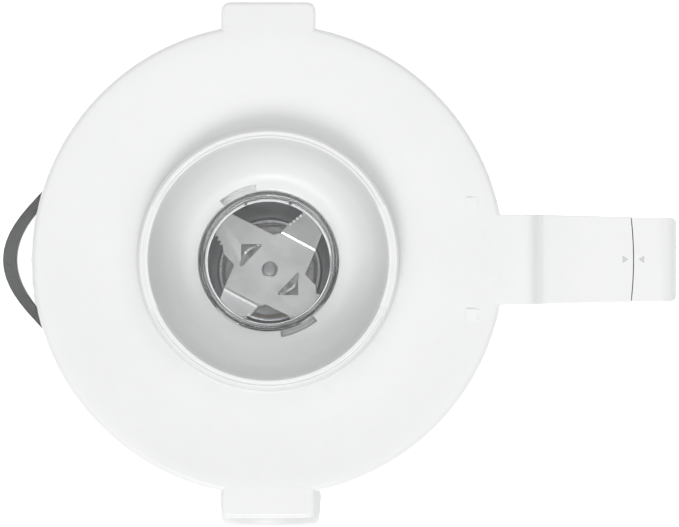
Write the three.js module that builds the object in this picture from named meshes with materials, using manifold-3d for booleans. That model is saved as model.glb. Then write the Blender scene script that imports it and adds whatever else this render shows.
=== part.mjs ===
// Countertop blender: a motor base with a front speed knob, a clear tapered jug with a
// side handle and a pouring spout, a bayonet lid whose tongue covers the handle, and a
// clear measuring cup that closes the filler hole of the lid.
//
// Millimetres, +Z up. The shapes are drawn about the drive axis (x = 0, y = 0) with the
// table at z = 0: the knob is at the front (-Y), the handle at the right (+X), the spout
// at the left (-X). The outer group then moves the origin to the middle of the footprint.

import * as THREE from 'three';
import { mergeVertices } from 'three/addons/utils/BufferGeometryUtils.js';
import Module from 'manifold-3d';

const wasm = await Module();
wasm.setup();

// ---------------------------------------------------------------- driving dimensions

const GAP = 0.3;                 // between pieces that touch
const RUN_GAP = 0.1;             // between a shaft and its bearing

const FOOT_R = 9;
const FOOT_CIRCLE = 54;          // feet stand on this radius
const HOUSING_BOTTOM = 6.5;
const DECK_Z = 150;              // the face that the jug stands on
const WALL = 3;                  // housing wall
const BASE_R = 74;               // housing at its foot
const DECK_R = 59;               // housing at its deck

const COLLAR_BOTTOM = DECK_Z + GAP;
const COLLAR_TOP = 188;
const CARRIER_FLOOR = 176;
const HUB_TOP = 191;
const HUB_R = 17.2;
const JUG_BOTTOM = 178.5;
const JUG_SHOULDER = 188.5;
const JUG_TOP = 376;
const JUG_WALL = 3;
const JUG_R_LOW = 53.5;          // outer radius just above the collar
const JUG_R_TOP = 70.5;          // outer radius at the rim
const NECK_R = 49;
const JUG_HOLE_R = 17.6;         // hole in the jug's floor that the blade hub fills
const SPOUT_TIP = 81.8;
const SPOUT_SPREAD = 24;         // half of the angle that the spout takes up, in degrees
const SPOUT_DROP = 58;           // how far the spout runs down the wall

const LID_R = 72.5;
const LID_UNDER = JUG_TOP + GAP;
const LID_TOP = 380;
const TAB_OUT = 79.1;
const TAB_HALF = 14.55;
const COLLAR_R = 40;
const COLLAR_H = 386.4;
const DISH_R = 36.2;
const DISH_FLOOR_R = 29.4;
const DISH_FLOOR = 360;
const FILLER_R = 21.8;
const TONGUE_END = 111.6;
const TONGUE_TOP = 384.4;
const TONGUE_UNDER = 374;

const HANDLE_END = 125.3;
const HANDLE_HALF = 12.9;
const HANDLE_TAPER = 0.16;       // share of its width that the handle loses towards its foot
const HANDLE_CORNER = 3;
const GRIP_IN = 101.5;
const ARM_TOP = TONGUE_UNDER - GAP;

const CUP_R = 21.5;
const CUP_TOP = 365;
const CUP_BOTTOM = 330;
const CUP_WALL = 1.8;
const CUP_BODY_R = 20.9;         // outside, below the wider top
const CUP_BORE_R = 19.6;
const CUP_GROOVE = [20.3, 345.6, 349.4];   // radius and both heights of the O-ring's groove
const LUG_R = 23.6;

const BLADE_Z = 210;             // middle of the blade's hub
const BLADE_T = 1.6;
const SHAFT_R = 4;

const KNOB_Z = 60;
const KNOB_R = 18;
const KNOB_FACE = -88.3;
const INLET_Z = 24;

const ORIGIN_X = (HANDLE_END - SPOUT_TIP) / 2;
const ORIGIN_Y = (TAB_OUT + KNOB_FACE) / 2;

// ---------------------------------------------------------------- materials

const plastic = (color, roughness = 0.45) =>
  new THREE.MeshStandardMaterial({ color, roughness, metalness: 0 });
const metal = (color, roughness = 0.35) =>
  new THREE.MeshStandardMaterial({ color, roughness, metalness: 1 });

const WHITE = plastic(0xf2f2f1, 0.4);
const GREY = plastic(0xb9bbbd, 0.5);
const CARRIER_GREY = plastic(0x6c6e70, 0.5);
const DARK = plastic(0x2b2c2e, 0.6);
const RUBBER = plastic(0x3a3a3b, 0.85);
const SILICONE = plastic(0xd8dadb, 0.6);
const CLEAR = new THREE.MeshStandardMaterial({
  color: 0xe4ebee, roughness: 0.08, metalness: 0, transparent: true, opacity: 0.35,
});
const STEEL = metal(0xb8babc, 0.3);
const ALUMINIUM = metal(0xc4c5c6, 0.45);
const IRON = metal(0x55575a, 0.6);
const COPPER = metal(0xb06a3c, 0.4);
const BRASS = metal(0xc39a55, 0.4);
const BOARD = plastic(0x2f6b45, 0.55);

// ---------------------------------------------------------------- solid helpers

// A closed three.js geometry as a manifold solid with its faces pointing out.
function solid(geometry) {
  const bare = geometry.index ? geometry.toNonIndexed() : geometry;
  bare.deleteAttribute('normal');
  bare.deleteAttribute('uv');
  const merged = mergeVertices(bare, 1e-4);
  const mesh = new wasm.Mesh({
    numProp: 3,
    vertProperties: new Float32Array(merged.attributes.position.array),
    triVerts: new Uint32Array(merged.index.array),
  });
  const made = new wasm.Manifold(mesh);
  if (made.volume() > 0) return made;
  const turned = merged.index.array.slice();
  for (let i = 0; i < turned.length; i += 3) {
    [turned[i], turned[i + 1]] = [turned[i + 1], turned[i]];
  }
  mesh.triVerts = new Uint32Array(turned);
  return new wasm.Manifold(mesh);
}

// A profile of [radius, z] turned about the z axis.
function lathe(profile, segments = 32) {
  const points = profile.map(([r, z]) => new THREE.Vector2(r, z));
  const [first, last] = [points[0], points[points.length - 1]];
  if (first.x > 0 || last.x > 0) points.push(first.clone());
  return solid(new THREE.LatheGeometry(points, segments).rotateX(Math.PI / 2));
}

// A ring or a disc with plain flat ends; inner = 0 makes it a disc.
function ring(outer, inner, z0, z1, segments = 32) {
  if (inner === 0) {
    return lathe([[0, z0], [outer, z0], [outer, z1], [0, z1]], segments);
  }
  return lathe([[outer, z0], [outer, z1], [inner, z1], [inner, z0]], segments);
}

function outline(points) {
  return new THREE.Shape(points.map(([x, y]) => new THREE.Vector2(x, y)));
}

// A flat outline in x and y, raised from z0 to z1.
function prism(shape, z0, z1, curveSegments = 12) {
  const depth = z1 - z0;
  const raised = new THREE.ExtrudeGeometry(shape, { depth, bevelEnabled: false, curveSegments });
  return solid(raised.translate(0, 0, z0));
}

// An outline in x and z, spread from -half to +half in y.
function sidePrism(points, half) {
  const raised = new THREE.ExtrudeGeometry(outline(points), { depth: 2 * half, bevelEnabled: false });
  return solid(raised.rotateX(Math.PI / 2).translate(0, half, 0));
}

function box(x0, x1, y0, y1, z0, z1) {
  const made = new THREE.BoxGeometry(x1 - x0, y1 - y0, z1 - z0);
  return solid(made.translate((x0 + x1) / 2, (y0 + y1) / 2, (z0 + z1) / 2));
}

function roundedRect(halfX, halfY, radius, cx = 0, cy = 0) {
  const shape = new THREE.Shape();
  shape.absarc(cx + halfX - radius, cy + halfY - radius, radius, 0, Math.PI / 2);
  shape.absarc(cx - halfX + radius, cy + halfY - radius, radius, Math.PI / 2, Math.PI);
  shape.absarc(cx - halfX + radius, cy - halfY + radius, radius, Math.PI, 1.5 * Math.PI);
  shape.absarc(cx + halfX - radius, cy - halfY + radius, radius, 1.5 * Math.PI, 2 * Math.PI);
  return shape;
}

// A piece of a ring between two angles in degrees.
function sector(inner, outer, from, to, z0, z1) {
  const [a, b] = [THREE.MathUtils.degToRad(from), THREE.MathUtils.degToRad(to)];
  const shape = new THREE.Shape();
  shape.absarc(0, 0, outer, a, b, false);
  shape.absarc(0, 0, inner, b, a, true);
  return prism(shape, z0, z1, 8);
}

const moved = (made, x, y, z) => made.translate([x, y, z]);
const turnedZ = (made, degrees) => made.rotate([0, 0, degrees]);
const joined = (...solids) => solids.reduce((all, one) => all.add(one));
const cut = (body, ...tools) => tools.reduce((left, tool) => left.subtract(tool), body);

// Turns a solid drawn about the z axis so that its +z end faces the front (-y).
const facingFront = (made) => made.rotate([90, 0, 0]);

// Copies of a solid, evenly spaced about the z axis.
function around(made, count, start = 0) {
  return Array.from({ length: count }, (_, i) => turnedZ(made, start + (360 * i) / count));
}

function mesh(name, made, material) {
  const { numProp, vertProperties, triVerts } = made.getMesh();
  const geometry = new THREE.BufferGeometry();
  geometry.setAttribute('position', new THREE.BufferAttribute(new Float32Array(vertProperties), numProp));
  geometry.setIndex(new THREE.BufferAttribute(new Uint32Array(triVerts), 1));
  geometry.computeVertexNormals();
  const made3 = new THREE.Mesh(geometry, material);
  made3.name = name;
  return made3;
}

// ---------------------------------------------------------------- base housing

// The housing is round at its deck and slightly squared at its foot.
function squared(made) {
  return made.warp((vertex) => {
    const [x, y, z] = vertex;
    const down = THREE.MathUtils.clamp((DECK_Z - 20 - z) / (DECK_Z - 20), 0, 1);
    const power = 2 + 0.3 * down;
    const angle = Math.atan2(y, x);
    const grow = (Math.abs(Math.cos(angle)) ** power + Math.abs(Math.sin(angle)) ** power) ** (-1 / power);
    vertex[0] = x * grow;
    vertex[1] = y * grow;
  });
}

const HOUSING_SEGMENTS = 36;
const HOUSING_CURVE = [
  [BASE_R - 1, HOUSING_BOTTOM],
  [BASE_R, HOUSING_BOTTOM + 3],
  [BASE_R - 0.8, 35],
  [BASE_R - 4, 75],
  [BASE_R - 9, 115],
  [BASE_R - 12.5, 140],
  [DECK_R + 1.2, 147.5],
  [DECK_R, DECK_Z],
];

// The outside of the housing as a filled body, grown outwards by the given amount.
function housingEnvelope(grow, bottom = HOUSING_BOTTOM, top = DECK_Z) {
  const wall = HOUSING_CURVE.map(([r, z]) => [r + grow, z]);
  wall[0][1] = bottom;
  wall[wall.length - 1][1] = top;
  return squared(lathe([[0, bottom], ...wall, [0, top]], HOUSING_SEGMENTS));
}

const SCREW_ANGLES = [25, 155, 205, 335];
const SCREW_CIRCLE = 64;
const ISOLATOR_POINTS = [[24, 27], [-24, 27], [-24, -27], [24, -27]];
const ISOLATOR_TOP = 129.7;

const polar = (radius, degrees) => {
  const angle = THREE.MathUtils.degToRad(degrees);
  return [radius * Math.cos(angle), radius * Math.sin(angle)];
};

function baseHousing() {
  const inside = housingEnvelope(-WALL, HOUSING_BOTTOM - 5, DECK_Z - WALL);
  const spigot = ring(46, 42, DECK_Z - 1, DECK_Z + 9, 32);
  const well = ring(22, 19, DECK_Z - 6, DECK_Z + 5, 32);
  const shaftBoss = ring(14, 10.3, 138, DECK_Z - 1, 32);
  let shell = joined(cut(housingEnvelope(0), inside), spigot, shaftBoss);
  for (const [x, y] of ISOLATOR_POINTS) {
    shell = shell.add(moved(ring(5, 0, ISOLATOR_TOP + GAP, DECK_Z - 1, 16), x, y, 0));
  }
  for (const angle of SCREW_ANGLES) {
    const [x, y] = polar(SCREW_CIRCLE, angle);
    const post = moved(ring(5, 0, 11, 60, 16), x, y, 0).intersect(housingEnvelope(-1));
    const rib = turnedZ(box(SCREW_CIRCLE + 3, BASE_R - 1, -1.5, 1.5, 11, 60), angle);
    shell = joined(shell, post, rib.intersect(housingEnvelope(-1)));
    shell = cut(shell, moved(ring(2.1, 0, 5, 32, 12), x, y, 0));
  }
  const shaftHole = ring(7, 0, 130, 160, 32);
  const sunk = ring(19, 0, DECK_Z - 1, DECK_Z + 8, 32);
  shell = cut(joined(shell, cut(well, ring(30, 0, DECK_Z - 8, DECK_Z - 1, 16))), shaftHole, sunk);
  const knobHole = moved(facingFront(ring(5, 0, 0, 30, 24)), 0, -55, KNOB_Z);
  const inletHole = moved(facingFront(ring(6.3, 0, 0, 30, 24)), 0, 90, INLET_Z);
  shell = cut(shell, knobHole, inletHole);
  for (let row = 0; row < 4; row += 1) {
    const z = 44 + 10 * row;
    shell = cut(shell, box(-24, 24, 60, 90, z, z + 3.5));
  }
  return shell;
}

function bottomCover() {
  let plate = squared(lathe([[0, 7], [BASE_R - WALL - 0.9, 7], [BASE_R - WALL - 0.9, 10], [0, 10]], HOUSING_SEGMENTS));
  for (const angle of SCREW_ANGLES) {
    const [x, y] = polar(SCREW_CIRCLE, angle);
    plate = cut(plate, moved(ring(2.2, 0, 5, 12, 8), x, y, 0), moved(ring(4.2, 0, 5, 8.6, 10), x, y, 0));
  }
  for (const [x, y] of footPoints()) {
    plate = cut(plate, moved(ring(3.5, 0, 5, 12, 12), x, y, 0));
  }
  return cut(plate, ...around(box(12, 32, -1.8, 1.8, 5, 12), 6));
}

const footPoints = () => [45, 135, 225, 315].map((angle) => polar(FOOT_CIRCLE, angle));

function foot() {
  return lathe([
    [0, 0], [FOOT_R, 0], [FOOT_R, 6.7], [3.2, 6.7], [3.2, 10.3], [4.6, 10.3], [3, 14], [0, 14],
  ], 16);
}

function bottomScrew() {
  return lathe([[0, 7.2], [3.6, 7.2], [3.6, 8.3], [1.8, 8.3], [1.8, 26], [0, 28]], 12);
}

function knobBezel() {
  const disc = moved(facingFront(ring(20.5, 5, 0, 20)), 0, -54.5, KNOB_Z);
  return cut(disc, housingEnvelope(GAP));
}

function speedKnob() {
  const body = lathe([
    [0, 0], [KNOB_R - 3, 0], [KNOB_R - 1, 1], [KNOB_R, 3], [KNOB_R, 11.2], [KNOB_R - 1.5, 13], [0, 13],
  ], 32);
  const pointer = box(-1.2, 1.2, 6, KNOB_R - 2.5, 12.2, 14);
  const bore = ring(3.4, 0, -1, 8, 20);
  return moved(facingFront(cut(body, pointer, bore)), 0, KNOB_FACE + 13, KNOB_Z);
}

function knobShaft() {
  const rod = joined(ring(3, 0, 0, 23.5, 20), ring(4.4, 0, 0, 3, 20));
  return moved(facingFront(rod), 0, -59.2, KNOB_Z);
}

function speedSwitch() {
  const body = box(-15, 15, -58.5, -42, KNOB_Z - 15, KNOB_Z + 15);
  const terminals = [-9, 0, 9].map((x) => box(x - 2, x + 2, -42.2, -37, KNOB_Z - 8, KNOB_Z - 6));
  return joined(body, ...terminals);
}

function controlBoard() {
  const x = -54;
  const board = box(x, x + 1.6, -20, 20, 22, 84);
  return joined(
    board,
    box(x + 1.5, x + 13, -17, -2, 30, 48),
    box(x + 1.5, x + 10, 4, 17, 30, 44),
    box(x + 1.5, x + 15, -14, 4, 60, 76),
    box(x + 1.5, x + 6, 8, 18, 62, 74),
  );
}

// Sits in the back wall; the mains lead goes in through its bore.
function cordInlet() {
  const bush = lathe([
    [3.6, 0], [9, 0], [9, 2.2], [6, 2.2], [6, 6.9], [7.4, 6.9], [7.4, 8.9], [3.6, 8.9],
  ], 20);
  return moved(facingFront(bush).rotate([0, 0, 180]), 0, 67.2, INLET_Z);
}

// ---------------------------------------------------------------- motor

const STACK_LOW = 66;
const STACK_HIGH = 102;
const ROTOR_R = 21.2;
const FAN_Z = 13;
const LOWER_BRACKET = [37, 40];
const UPPER_BRACKET = [116, 119];
const BEARING_R = 8;
const COMMUTATOR_R = 11;
const BRACKET_POSTS = [[29.5, 31.5], [-29.5, 31.5], [-29.5, -31.5], [29.5, -31.5]];

function stator() {
  let core = prism(roundedRect(34, 36, 6), STACK_LOW, STACK_HIGH, 3);
  core = cut(core, ring(ROTOR_R + 0.6, 0, 60, 110));
  for (const sx of [-1, 1]) {
    for (const sy of [-1, 1]) {
      core = cut(core, moved(box(-2.8, 2.8, -3.5, 3.5, 60, 110), sx * 22.5, sy * 25.7, 0));
    }
  }
  return core;
}

// One field winding: a rounded loop that runs through two slots of the stack.
function fieldCoil(side) {
  const outer = roundedRect(25, 27, 8);
  const inner = roundedRect(20.2, 21, 4);
  const loop = cut(prism(outer, -3.1, 3.1, 3), prism(inner, -4, 4, 3));
  return moved(loop.rotate([90, 0, 0]), 0, side * 25.7, (STACK_LOW + STACK_HIGH) / 2);
}

function bracket([low, high], cupLow, cupHigh, postLow, postHigh) {
  let plate = joined(prism(roundedRect(34, 36, 6), low, high, 3), ring(12, 0, cupLow, cupHigh, 20));
  for (const [x, y] of BRACKET_POSTS) {
    plate = plate.add(moved(ring(3.5, 0, postLow, postHigh, 8), x, y, 0));
  }
  return plate;
}

function upperBracket() {
  const plate = bracket(UPPER_BRACKET, 116, 128, STACK_HIGH + GAP, 117);
  const windows = around(box(14, 27, -7, 7, 110, 122), 4);
  return cut(plate, ring(BEARING_R + GAP, 0, 110, 126.5, 20), ring(5.5, 0, 110, 130, 12), ...windows);
}

function lowerBracket() {
  const plate = bracket(LOWER_BRACKET, 29, 40, 39, STACK_LOW - GAP);
  const windows = around(box(14, 27, -7, 7, 30, 42), 4);
  return cut(plate, ring(BEARING_R + GAP, 0, 30.5, 45, 20), ring(5.5, 0, 25, 45, 12), ...windows);
}

const bearing = (z0) => ring(BEARING_R, SHAFT_R + RUN_GAP, z0, z0 + 7, 20);

function brushHolder(side) {
  const sleeve = box(15, 33, -4.5, 4.5, 45, 54);
  const carbon = box(COMMUTATOR_R + 0.4, 16, -3, 3, 46.5, 52.5);
  const bracketFoot = box(27.5, 33, -4.5, 4.5, 40 + GAP, 46);
  return turnedZ(joined(sleeve, carbon, bracketFoot), side > 0 ? 0 : 180);
}

function motorShaft() {
  return ring(SHAFT_R, 0, 12, 161, 20);
}

function armatureCore() {
  const slot = box(15, 24, -1.4, 1.4, 60, 110);
  return cut(ring(ROTOR_R, SHAFT_R + GAP, STACK_LOW + 1, STACK_HIGH - 1, 36), ...around(slot, 12));
}

function armatureWinding(z0, z1) {
  return lathe([
    [SHAFT_R + GAP, z0], [14, z0], [18.5, z0 + 3], [18.5, z1 - 1],
    [17, z1], [SHAFT_R + GAP, z1],
  ], 20);
}

function commutator() {
  const notch = box(COMMUTATOR_R - 1, COMMUTATOR_R + 2, -0.4, 0.4, 40, 60);
  return cut(ring(COMMUTATOR_R, SHAFT_R + GAP, 44, 56, 24), ...around(notch, 12, 7.5));
}

function coolingFan() {
  const disc = ring(33, SHAFT_R + GAP, FAN_Z + 9, FAN_Z + 10.5, 32);
  const hub = ring(9, SHAFT_R + GAP, FAN_Z, FAN_Z + 10, 16);
  const vane = turnedZ(box(-9.5, 9.5, -0.8, 0.8, FAN_Z + 0.5, FAN_Z + 9.5), 28);
  return joined(disc, hub, ...around(moved(vane, 22, 0, 0), 9));
}

const isolator = () => ring(6, 0, UPPER_BRACKET[1] + GAP, ISOLATOR_TOP, 16);

// The magnet in the jug's foot closes the switch below the deck when the jug is seated.
const MAGNET_X = -30;
const jugMagnet = () => moved(ring(4, 0, 165, 173 - GAP, 16), MAGNET_X, 0, 0);
const reedSwitch = () => box(MAGNET_X - 3, MAGNET_X + 3, -9, 9, 142, DECK_Z - WALL - GAP);

function deckSeal() {
  return lathe([[10, 139], [10, 146], [5.5, 146], [SHAFT_R + 0.4, 143], [SHAFT_R + 0.4, 142], [5.5, 139]], 20);
}

// ---------------------------------------------------------------- drive couplings

// A six-toothed star outline; both halves of the dog clutch share it.
function star(root, tip, z0, z1) {
  const points = [];
  for (let i = 0; i < 24; i += 1) {
    points.push(polar(i % 4 < 2 ? tip : root, 15 * i + (i % 2 ? -2 : 2)));
  }
  return prism(outline(points), z0, z1);
}

function driveCoupling() {
  const dog = joined(star(8, 11, 153.5, 163), ring(14, 0, DECK_Z + 0.5, 154, 24));
  return cut(dog, ring(SHAFT_R + GAP, 0, 140, 161 + GAP, 16));
}

function drivenCoupling() {
  const body = ring(15.5, 0, 155, 169.5, 24);
  return cut(body, star(8.6, 11.6, 150, 164), ring(SHAFT_R + GAP, 0, 160, 175, 16));
}

// ---------------------------------------------------------------- blade unit

function bladeCarrier() {
  return lathe([
    [55.6, COLLAR_BOTTOM], [56.8, COLLAR_BOTTOM + 2], [54.8, COLLAR_TOP - 2.5], [53, COLLAR_TOP],
    [NECK_R + 0.5, COLLAR_TOP], [NECK_R + 0.5, CARRIER_FLOOR], [HUB_R, CARRIER_FLOOR],
    [HUB_R, HUB_TOP], [7.3, HUB_TOP], [7.3, 171], [14, 171], [16.5, 173], [52, 173], [52, COLLAR_BOTTOM],
  ], 40);
}

// A thin pressed disc that covers the top of the hub.
const bladeSeat = () => lathe([
  [7.6, HUB_TOP + GAP], [16.4, HUB_TOP + GAP], [16.9, HUB_TOP + 1.6], [15.9, HUB_TOP + 1.6],
  [15.4, HUB_TOP + 1.1], [7.6, HUB_TOP + 1.1],
], 40);
const bladeSeal = () => ring(48.6, 43, CARRIER_FLOOR + GAP, JUG_BOTTOM - GAP);
const bladeBushing = () => ring(7, SHAFT_R + RUN_GAP, 171.5, HUB_TOP + 5, 20);
const bladeShaft = () => joined(ring(SHAFT_R, 0, 165, BLADE_Z - 4, 20), ring(2.2, 0, 200, BLADE_Z + 2.5, 16));
const bladeWasher = () => ring(6.5, SHAFT_R + GAP, HUB_TOP + 5.4, HUB_TOP + 7.4, 20);

// Flat middle of the stamped blade: two arms run out flat, two bend up at their roots.
const BEND_AT = 12.8;            // distance of the bend from the hub
const BEND_AXIS = 62;            // direction of the bent arms
const FLAT_HALF = [
  [15.3, 6.4], [4, 12.4], [1.4, 11.6], [-13.6, 19], [-20, 22.3], [-22.8, 19.4], [-16, 6.8], [-11.8, 1.7],
];
// A bent tip in its own plane: distance past the bend, then sideways.
const TIP = [
  [0, 2.3], [0, -10.5], [2.8, -10.05], [7.9, -9.6], [17.6, -7.6], [18.4, -5.6], [12.2, -1.5], [3.4, 1.7],
];
const TIP_RISE = 32;             // degrees
// A triangular window and the fin folded up from it.
const WINDOW = [[-9.4, 8.4], [-9.4, 1], [-2.6, 8.4]];
const FIN_H = 4;

function blade() {
  const whole = FLAT_HALF.concat(FLAT_HALF.map(([x, y]) => [-x, -y]));
  const [low, high] = [-BLADE_T / 2, BLADE_T / 2];
  let plate = prism(outline(whole), low, high);
  const tip = prism(outline(TIP.map(([u, v]) => [u, v])), low, high).rotate([0, -TIP_RISE, 0]);
  const bent = turnedZ(moved(tip, BEND_AT, 0, 0), BEND_AXIS);
  const fold = cut(box(-1, 1, -6.2, 5.6, 0, FIN_H), box(-2, 2, -7, -2, 2.5, FIN_H + 1));
  const fin = moved(turnedZ(fold, -44), -6.6, 4.1, 0);
  for (const half of [0, 180]) {
    plate = joined(plate, turnedZ(bent, half));
    plate = cut(plate, turnedZ(prism(outline(WINDOW), low - 1, high + 1), half));
    plate = joined(plate, turnedZ(fin, half));
  }
  return moved(cut(plate, ring(2.5, 0, -3, 3, 16)), 0, 0, BLADE_Z - 2);
}

const bladeSpacer = () => ring(6, 2.5, BLADE_Z - 3.7, BLADE_Z - 3.1, 16);

function bladeNut() {
  return lathe([
    [2.5, BLADE_Z - 0.9], [5, BLADE_Z - 0.9], [5, BLADE_Z + 0.8], [3.6, BLADE_Z + 2.4], [2.5, BLADE_Z + 2.8],
  ], 16);
}

// ---------------------------------------------------------------- jug

// Outer radius of the jug at a height above its shoulder.
const jugRadius = (z) => JUG_R_LOW + ((JUG_R_TOP - JUG_R_LOW) * (z - JUG_SHOULDER)) / (JUG_TOP - JUG_SHOULDER);

// The spout is pushed out of the wall as a bell that is widest at the rim.
function spouted(made) {
  const reach = SPOUT_TIP - JUG_R_TOP;
  return made.warp((vertex) => {
    const [x, y, z] = vertex;
    const off = Math.abs(THREE.MathUtils.radToDeg(Math.atan2(y, -x)));
    const radius = Math.hypot(x, y);
    if (off >= SPOUT_SPREAD || radius < JUG_R_LOW) return;
    const height = THREE.MathUtils.clamp((z - JUG_TOP + SPOUT_DROP) / SPOUT_DROP, 0, 1);
    const bell = Math.cos((Math.PI / 2) * (off / SPOUT_SPREAD)) ** 2;
    const grow = 1 + (reach * bell * height ** 1.6) / radius;
    vertex[0] = x * grow;
    vertex[1] = y * grow;
  });
}

const JUG_SEGMENTS = 60;
const WALL_HEIGHTS = [JUG_TOP - SPOUT_DROP, JUG_TOP - 35, JUG_TOP - 16, JUG_TOP];

// The outside of the jug as a filled body, grown outwards by the given amount.
function jugEnvelope(grow, top = JUG_TOP) {
  const wall = WALL_HEIGHTS.map((z) => [jugRadius(z) + grow, z]);
  return spouted(lathe([
    [0, JUG_BOTTOM - grow], [NECK_R + grow, JUG_BOTTOM - grow], [NECK_R + grow, JUG_SHOULDER - grow],
    [JUG_R_LOW + grow, JUG_SHOULDER - grow], ...wall, [JUG_R_TOP + grow, top + 0.01], [0, top + 0.01],
  ], JUG_SEGMENTS));
}

// The space inside the jug: a sloping floor, then the tapered wall.
function jugInside() {
  const wall = WALL_HEIGHTS.map((z) => [jugRadius(z) - JUG_WALL, z]);
  return spouted(lathe([
    [0, 190], [19, 190], [44, 196], [jugRadius(203) - JUG_WALL, 203], ...wall,
    [JUG_R_TOP - JUG_WALL, JUG_TOP + 3], [0, JUG_TOP + 3],
  ], JUG_SEGMENTS));
}

// The space below the floor, inside the neck.
const jugUnderside = () => lathe([
  [0, JUG_BOTTOM - 2], [45.5, JUG_BOTTOM - 2], [45.5, 190], [43, 192.6], [19, 187], [0, 187],
], JUG_SEGMENTS);

const ARC_SEGMENTS = 128;        // of the arc where the tongue meets the handle
const UPPER_BOSS = [64, 84, 360, 368];
const LOWER_BOSS = [50, 70, 196, 206];
const BOSS_HALF = 7;

function jug() {
  const bosses = [UPPER_BOSS, LOWER_BOSS].map(([x0, x1, z0, z1]) =>
    box(x0, x1, -BOSS_HALF, BOSS_HALF, z0, z1));
  const pilots = [UPPER_BOSS, LOWER_BOSS].map(([x0, x1, z0, z1]) =>
    moved(ring(2, 0, z0 - 1, z1 - 1, 12), (x0 + x1) / 2 + 4, 0, 0));
  const hole = ring(JUG_HOLE_R, 0, 180, 200, JUG_SEGMENTS);
  return cut(joined(jugEnvelope(0), ...bosses), jugInside(), jugUnderside(), hole, ...pilots);
}

function handleOutline() {
  const side = new THREE.Shape();
  side.moveTo(60, ARM_TOP);
  side.lineTo(108, ARM_TOP);
  side.lineTo(108, TONGUE_TOP);
  side.lineTo(HANDLE_END - 6, TONGUE_TOP);
  side.quadraticCurveTo(HANDLE_END, TONGUE_TOP, HANDLE_END, TONGUE_TOP - 7);
  side.lineTo(HANDLE_END - 1.5, 262);
  side.quadraticCurveTo(HANDLE_END - 3, 212, 104, 200);
  side.quadraticCurveTo(92, 193, 76, 191.5);
  side.lineTo(50, 191.5);
  side.lineTo(50, 213);
  side.lineTo(78, 214);
  side.quadraticCurveTo(98, 217, GRIP_IN, 240);
  side.lineTo(GRIP_IN + 1.5, 340);
  side.quadraticCurveTo(GRIP_IN + 1, 354, 88, 356);
  side.lineTo(60, 356);
  return side;
}

// The handle is widest at its cap and narrows towards its foot.
function narrowed(made) {
  return made.warp((vertex) => {
    const down = THREE.MathUtils.clamp((ARM_TOP - vertex[2]) / (ARM_TOP - 200), 0, 1);
    vertex[1] *= 1 - HANDLE_TAPER * down;
  });
}

function jugHandle() {
  const depth = 2 * HANDLE_HALF;
  const raised = new THREE.ExtrudeGeometry(handleOutline(), { depth, bevelEnabled: false, curveSegments: 6 });
  let grip = solid(raised.rotateX(Math.PI / 2).translate(0, HANDLE_HALF, 0));
  const tongueRoom = ring(TONGUE_END + GAP, 0, ARM_TOP, TONGUE_TOP + 5, ARC_SEGMENTS);
  const plan = prism(roundedRect(60, HANDLE_HALF, HANDLE_CORNER, HANDLE_END - 60, 0), 180, 400, 4);
  grip = narrowed(grip.intersect(plan));
  grip = cut(grip, tongueRoom, jugEnvelope(GAP, JUG_TOP + 1));
  for (const [x0, x1, z0, z1] of [UPPER_BOSS, LOWER_BOSS]) {
    const x = (x0 + x1) / 2 + 4;
    const half = BOSS_HALF + GAP;
    grip = cut(grip, box(x0 - 10, x1 + GAP, -half, half, z0 - GAP, z1 + GAP));
    grip = cut(grip, moved(ring(2.2, 0, z0 - 12, z0, 12), x, 0, 0));
    grip = cut(grip, moved(ring(4, 0, z0 - 12, z0 - 2.4, 16), x, 0, 0));
  }
  return grip;
}

function handleScrew([x0, x1, z0]) {
  const screw = lathe([[0, -4.8], [3.6, -4.8], [3.6, -2.8], [1.7, -2.8], [1.7, 6], [0, 6.4]], 12);
  return moved(screw, (x0 + x1) / 2 + 4, 0, z0);
}

// ---------------------------------------------------------------- lid

const LUGS = [[100.5, 128], [280.5, 308]];
const LUG_LOW = 354.6;
const LUG_HIGH = 356.8;
const CUP_TURN = 20;             // degrees that the cup turns to lock

function lidDisc() {
  return lathe([
    [FILLER_R, DISH_FLOOR], [DISH_FLOOR_R - 1.6, DISH_FLOOR], [DISH_FLOOR_R, DISH_FLOOR + 0.8],
    [31, 363.5], [34.6, 379], [DISH_R, 384.4], [38, COLLAR_H], [39.2, COLLAR_H],
    [COLLAR_R, COLLAR_H - 1.4], [COLLAR_R + 0.2, 378], [50, 377.9], [69, LID_TOP],
    [71.6, LID_TOP - 0.2], [LID_R, LID_TOP - 1.4], [LID_R, LID_UNDER + 0.7], [LID_R - 0.7, LID_UNDER],
    [64.2, LID_UNDER], [64.2, 353], [61.7, 353], [61.7, 374.8], [38.4, 374.8],
    [33, 357], [26, 357], [26, 341], [FILLER_R, 341],
  ], 48);
}

function gripTab(side) {
  const top = prism(roundedRect(TAB_HALF, 10, 2.8, 0, TAB_OUT - 10), LID_UNDER, LID_TOP - 0.4, 4);
  const drop = prism(roundedRect(TAB_HALF, 10, 2.8, 0, TAB_OUT - 10), 371, LID_UNDER + 0.1, 4);
  const outsideJug = cut(drop, ring(JUG_R_TOP + 0.6, 0, 360, 390, 96));
  const tab = joined(cut(top, ring(60, 0, 360, 390, 32)), outsideJug);
  return side > 0 ? tab : turnedZ(tab, 180);
}

function tongue() {
  const profile = sidePrism([
    [62, LID_UNDER], [71.3, LID_UNDER], [71.3, TONGUE_UNDER], [TONGUE_END + 5, TONGUE_UNDER],
    [TONGUE_END + 5, TONGUE_TOP], [86.2, TONGUE_TOP], [83.4, TONGUE_TOP - 0.9], [81.2, LID_TOP + 1],
    [79.4, LID_TOP - 0.3], [62, LID_TOP - 0.3],
  ], 20);
  const plan = prism(outline([
    [62, -13.9], [77, -13.9], [102, -13.2], [TONGUE_END + 5, -12.9],
    [TONGUE_END + 5, 12.9], [102, 13.2], [77, 13.9], [62, 13.9],
  ]), 360, 400);
  return profile.intersect(plan).intersect(ring(TONGUE_END, 0, 360, 400, ARC_SEGMENTS));
}

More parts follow.
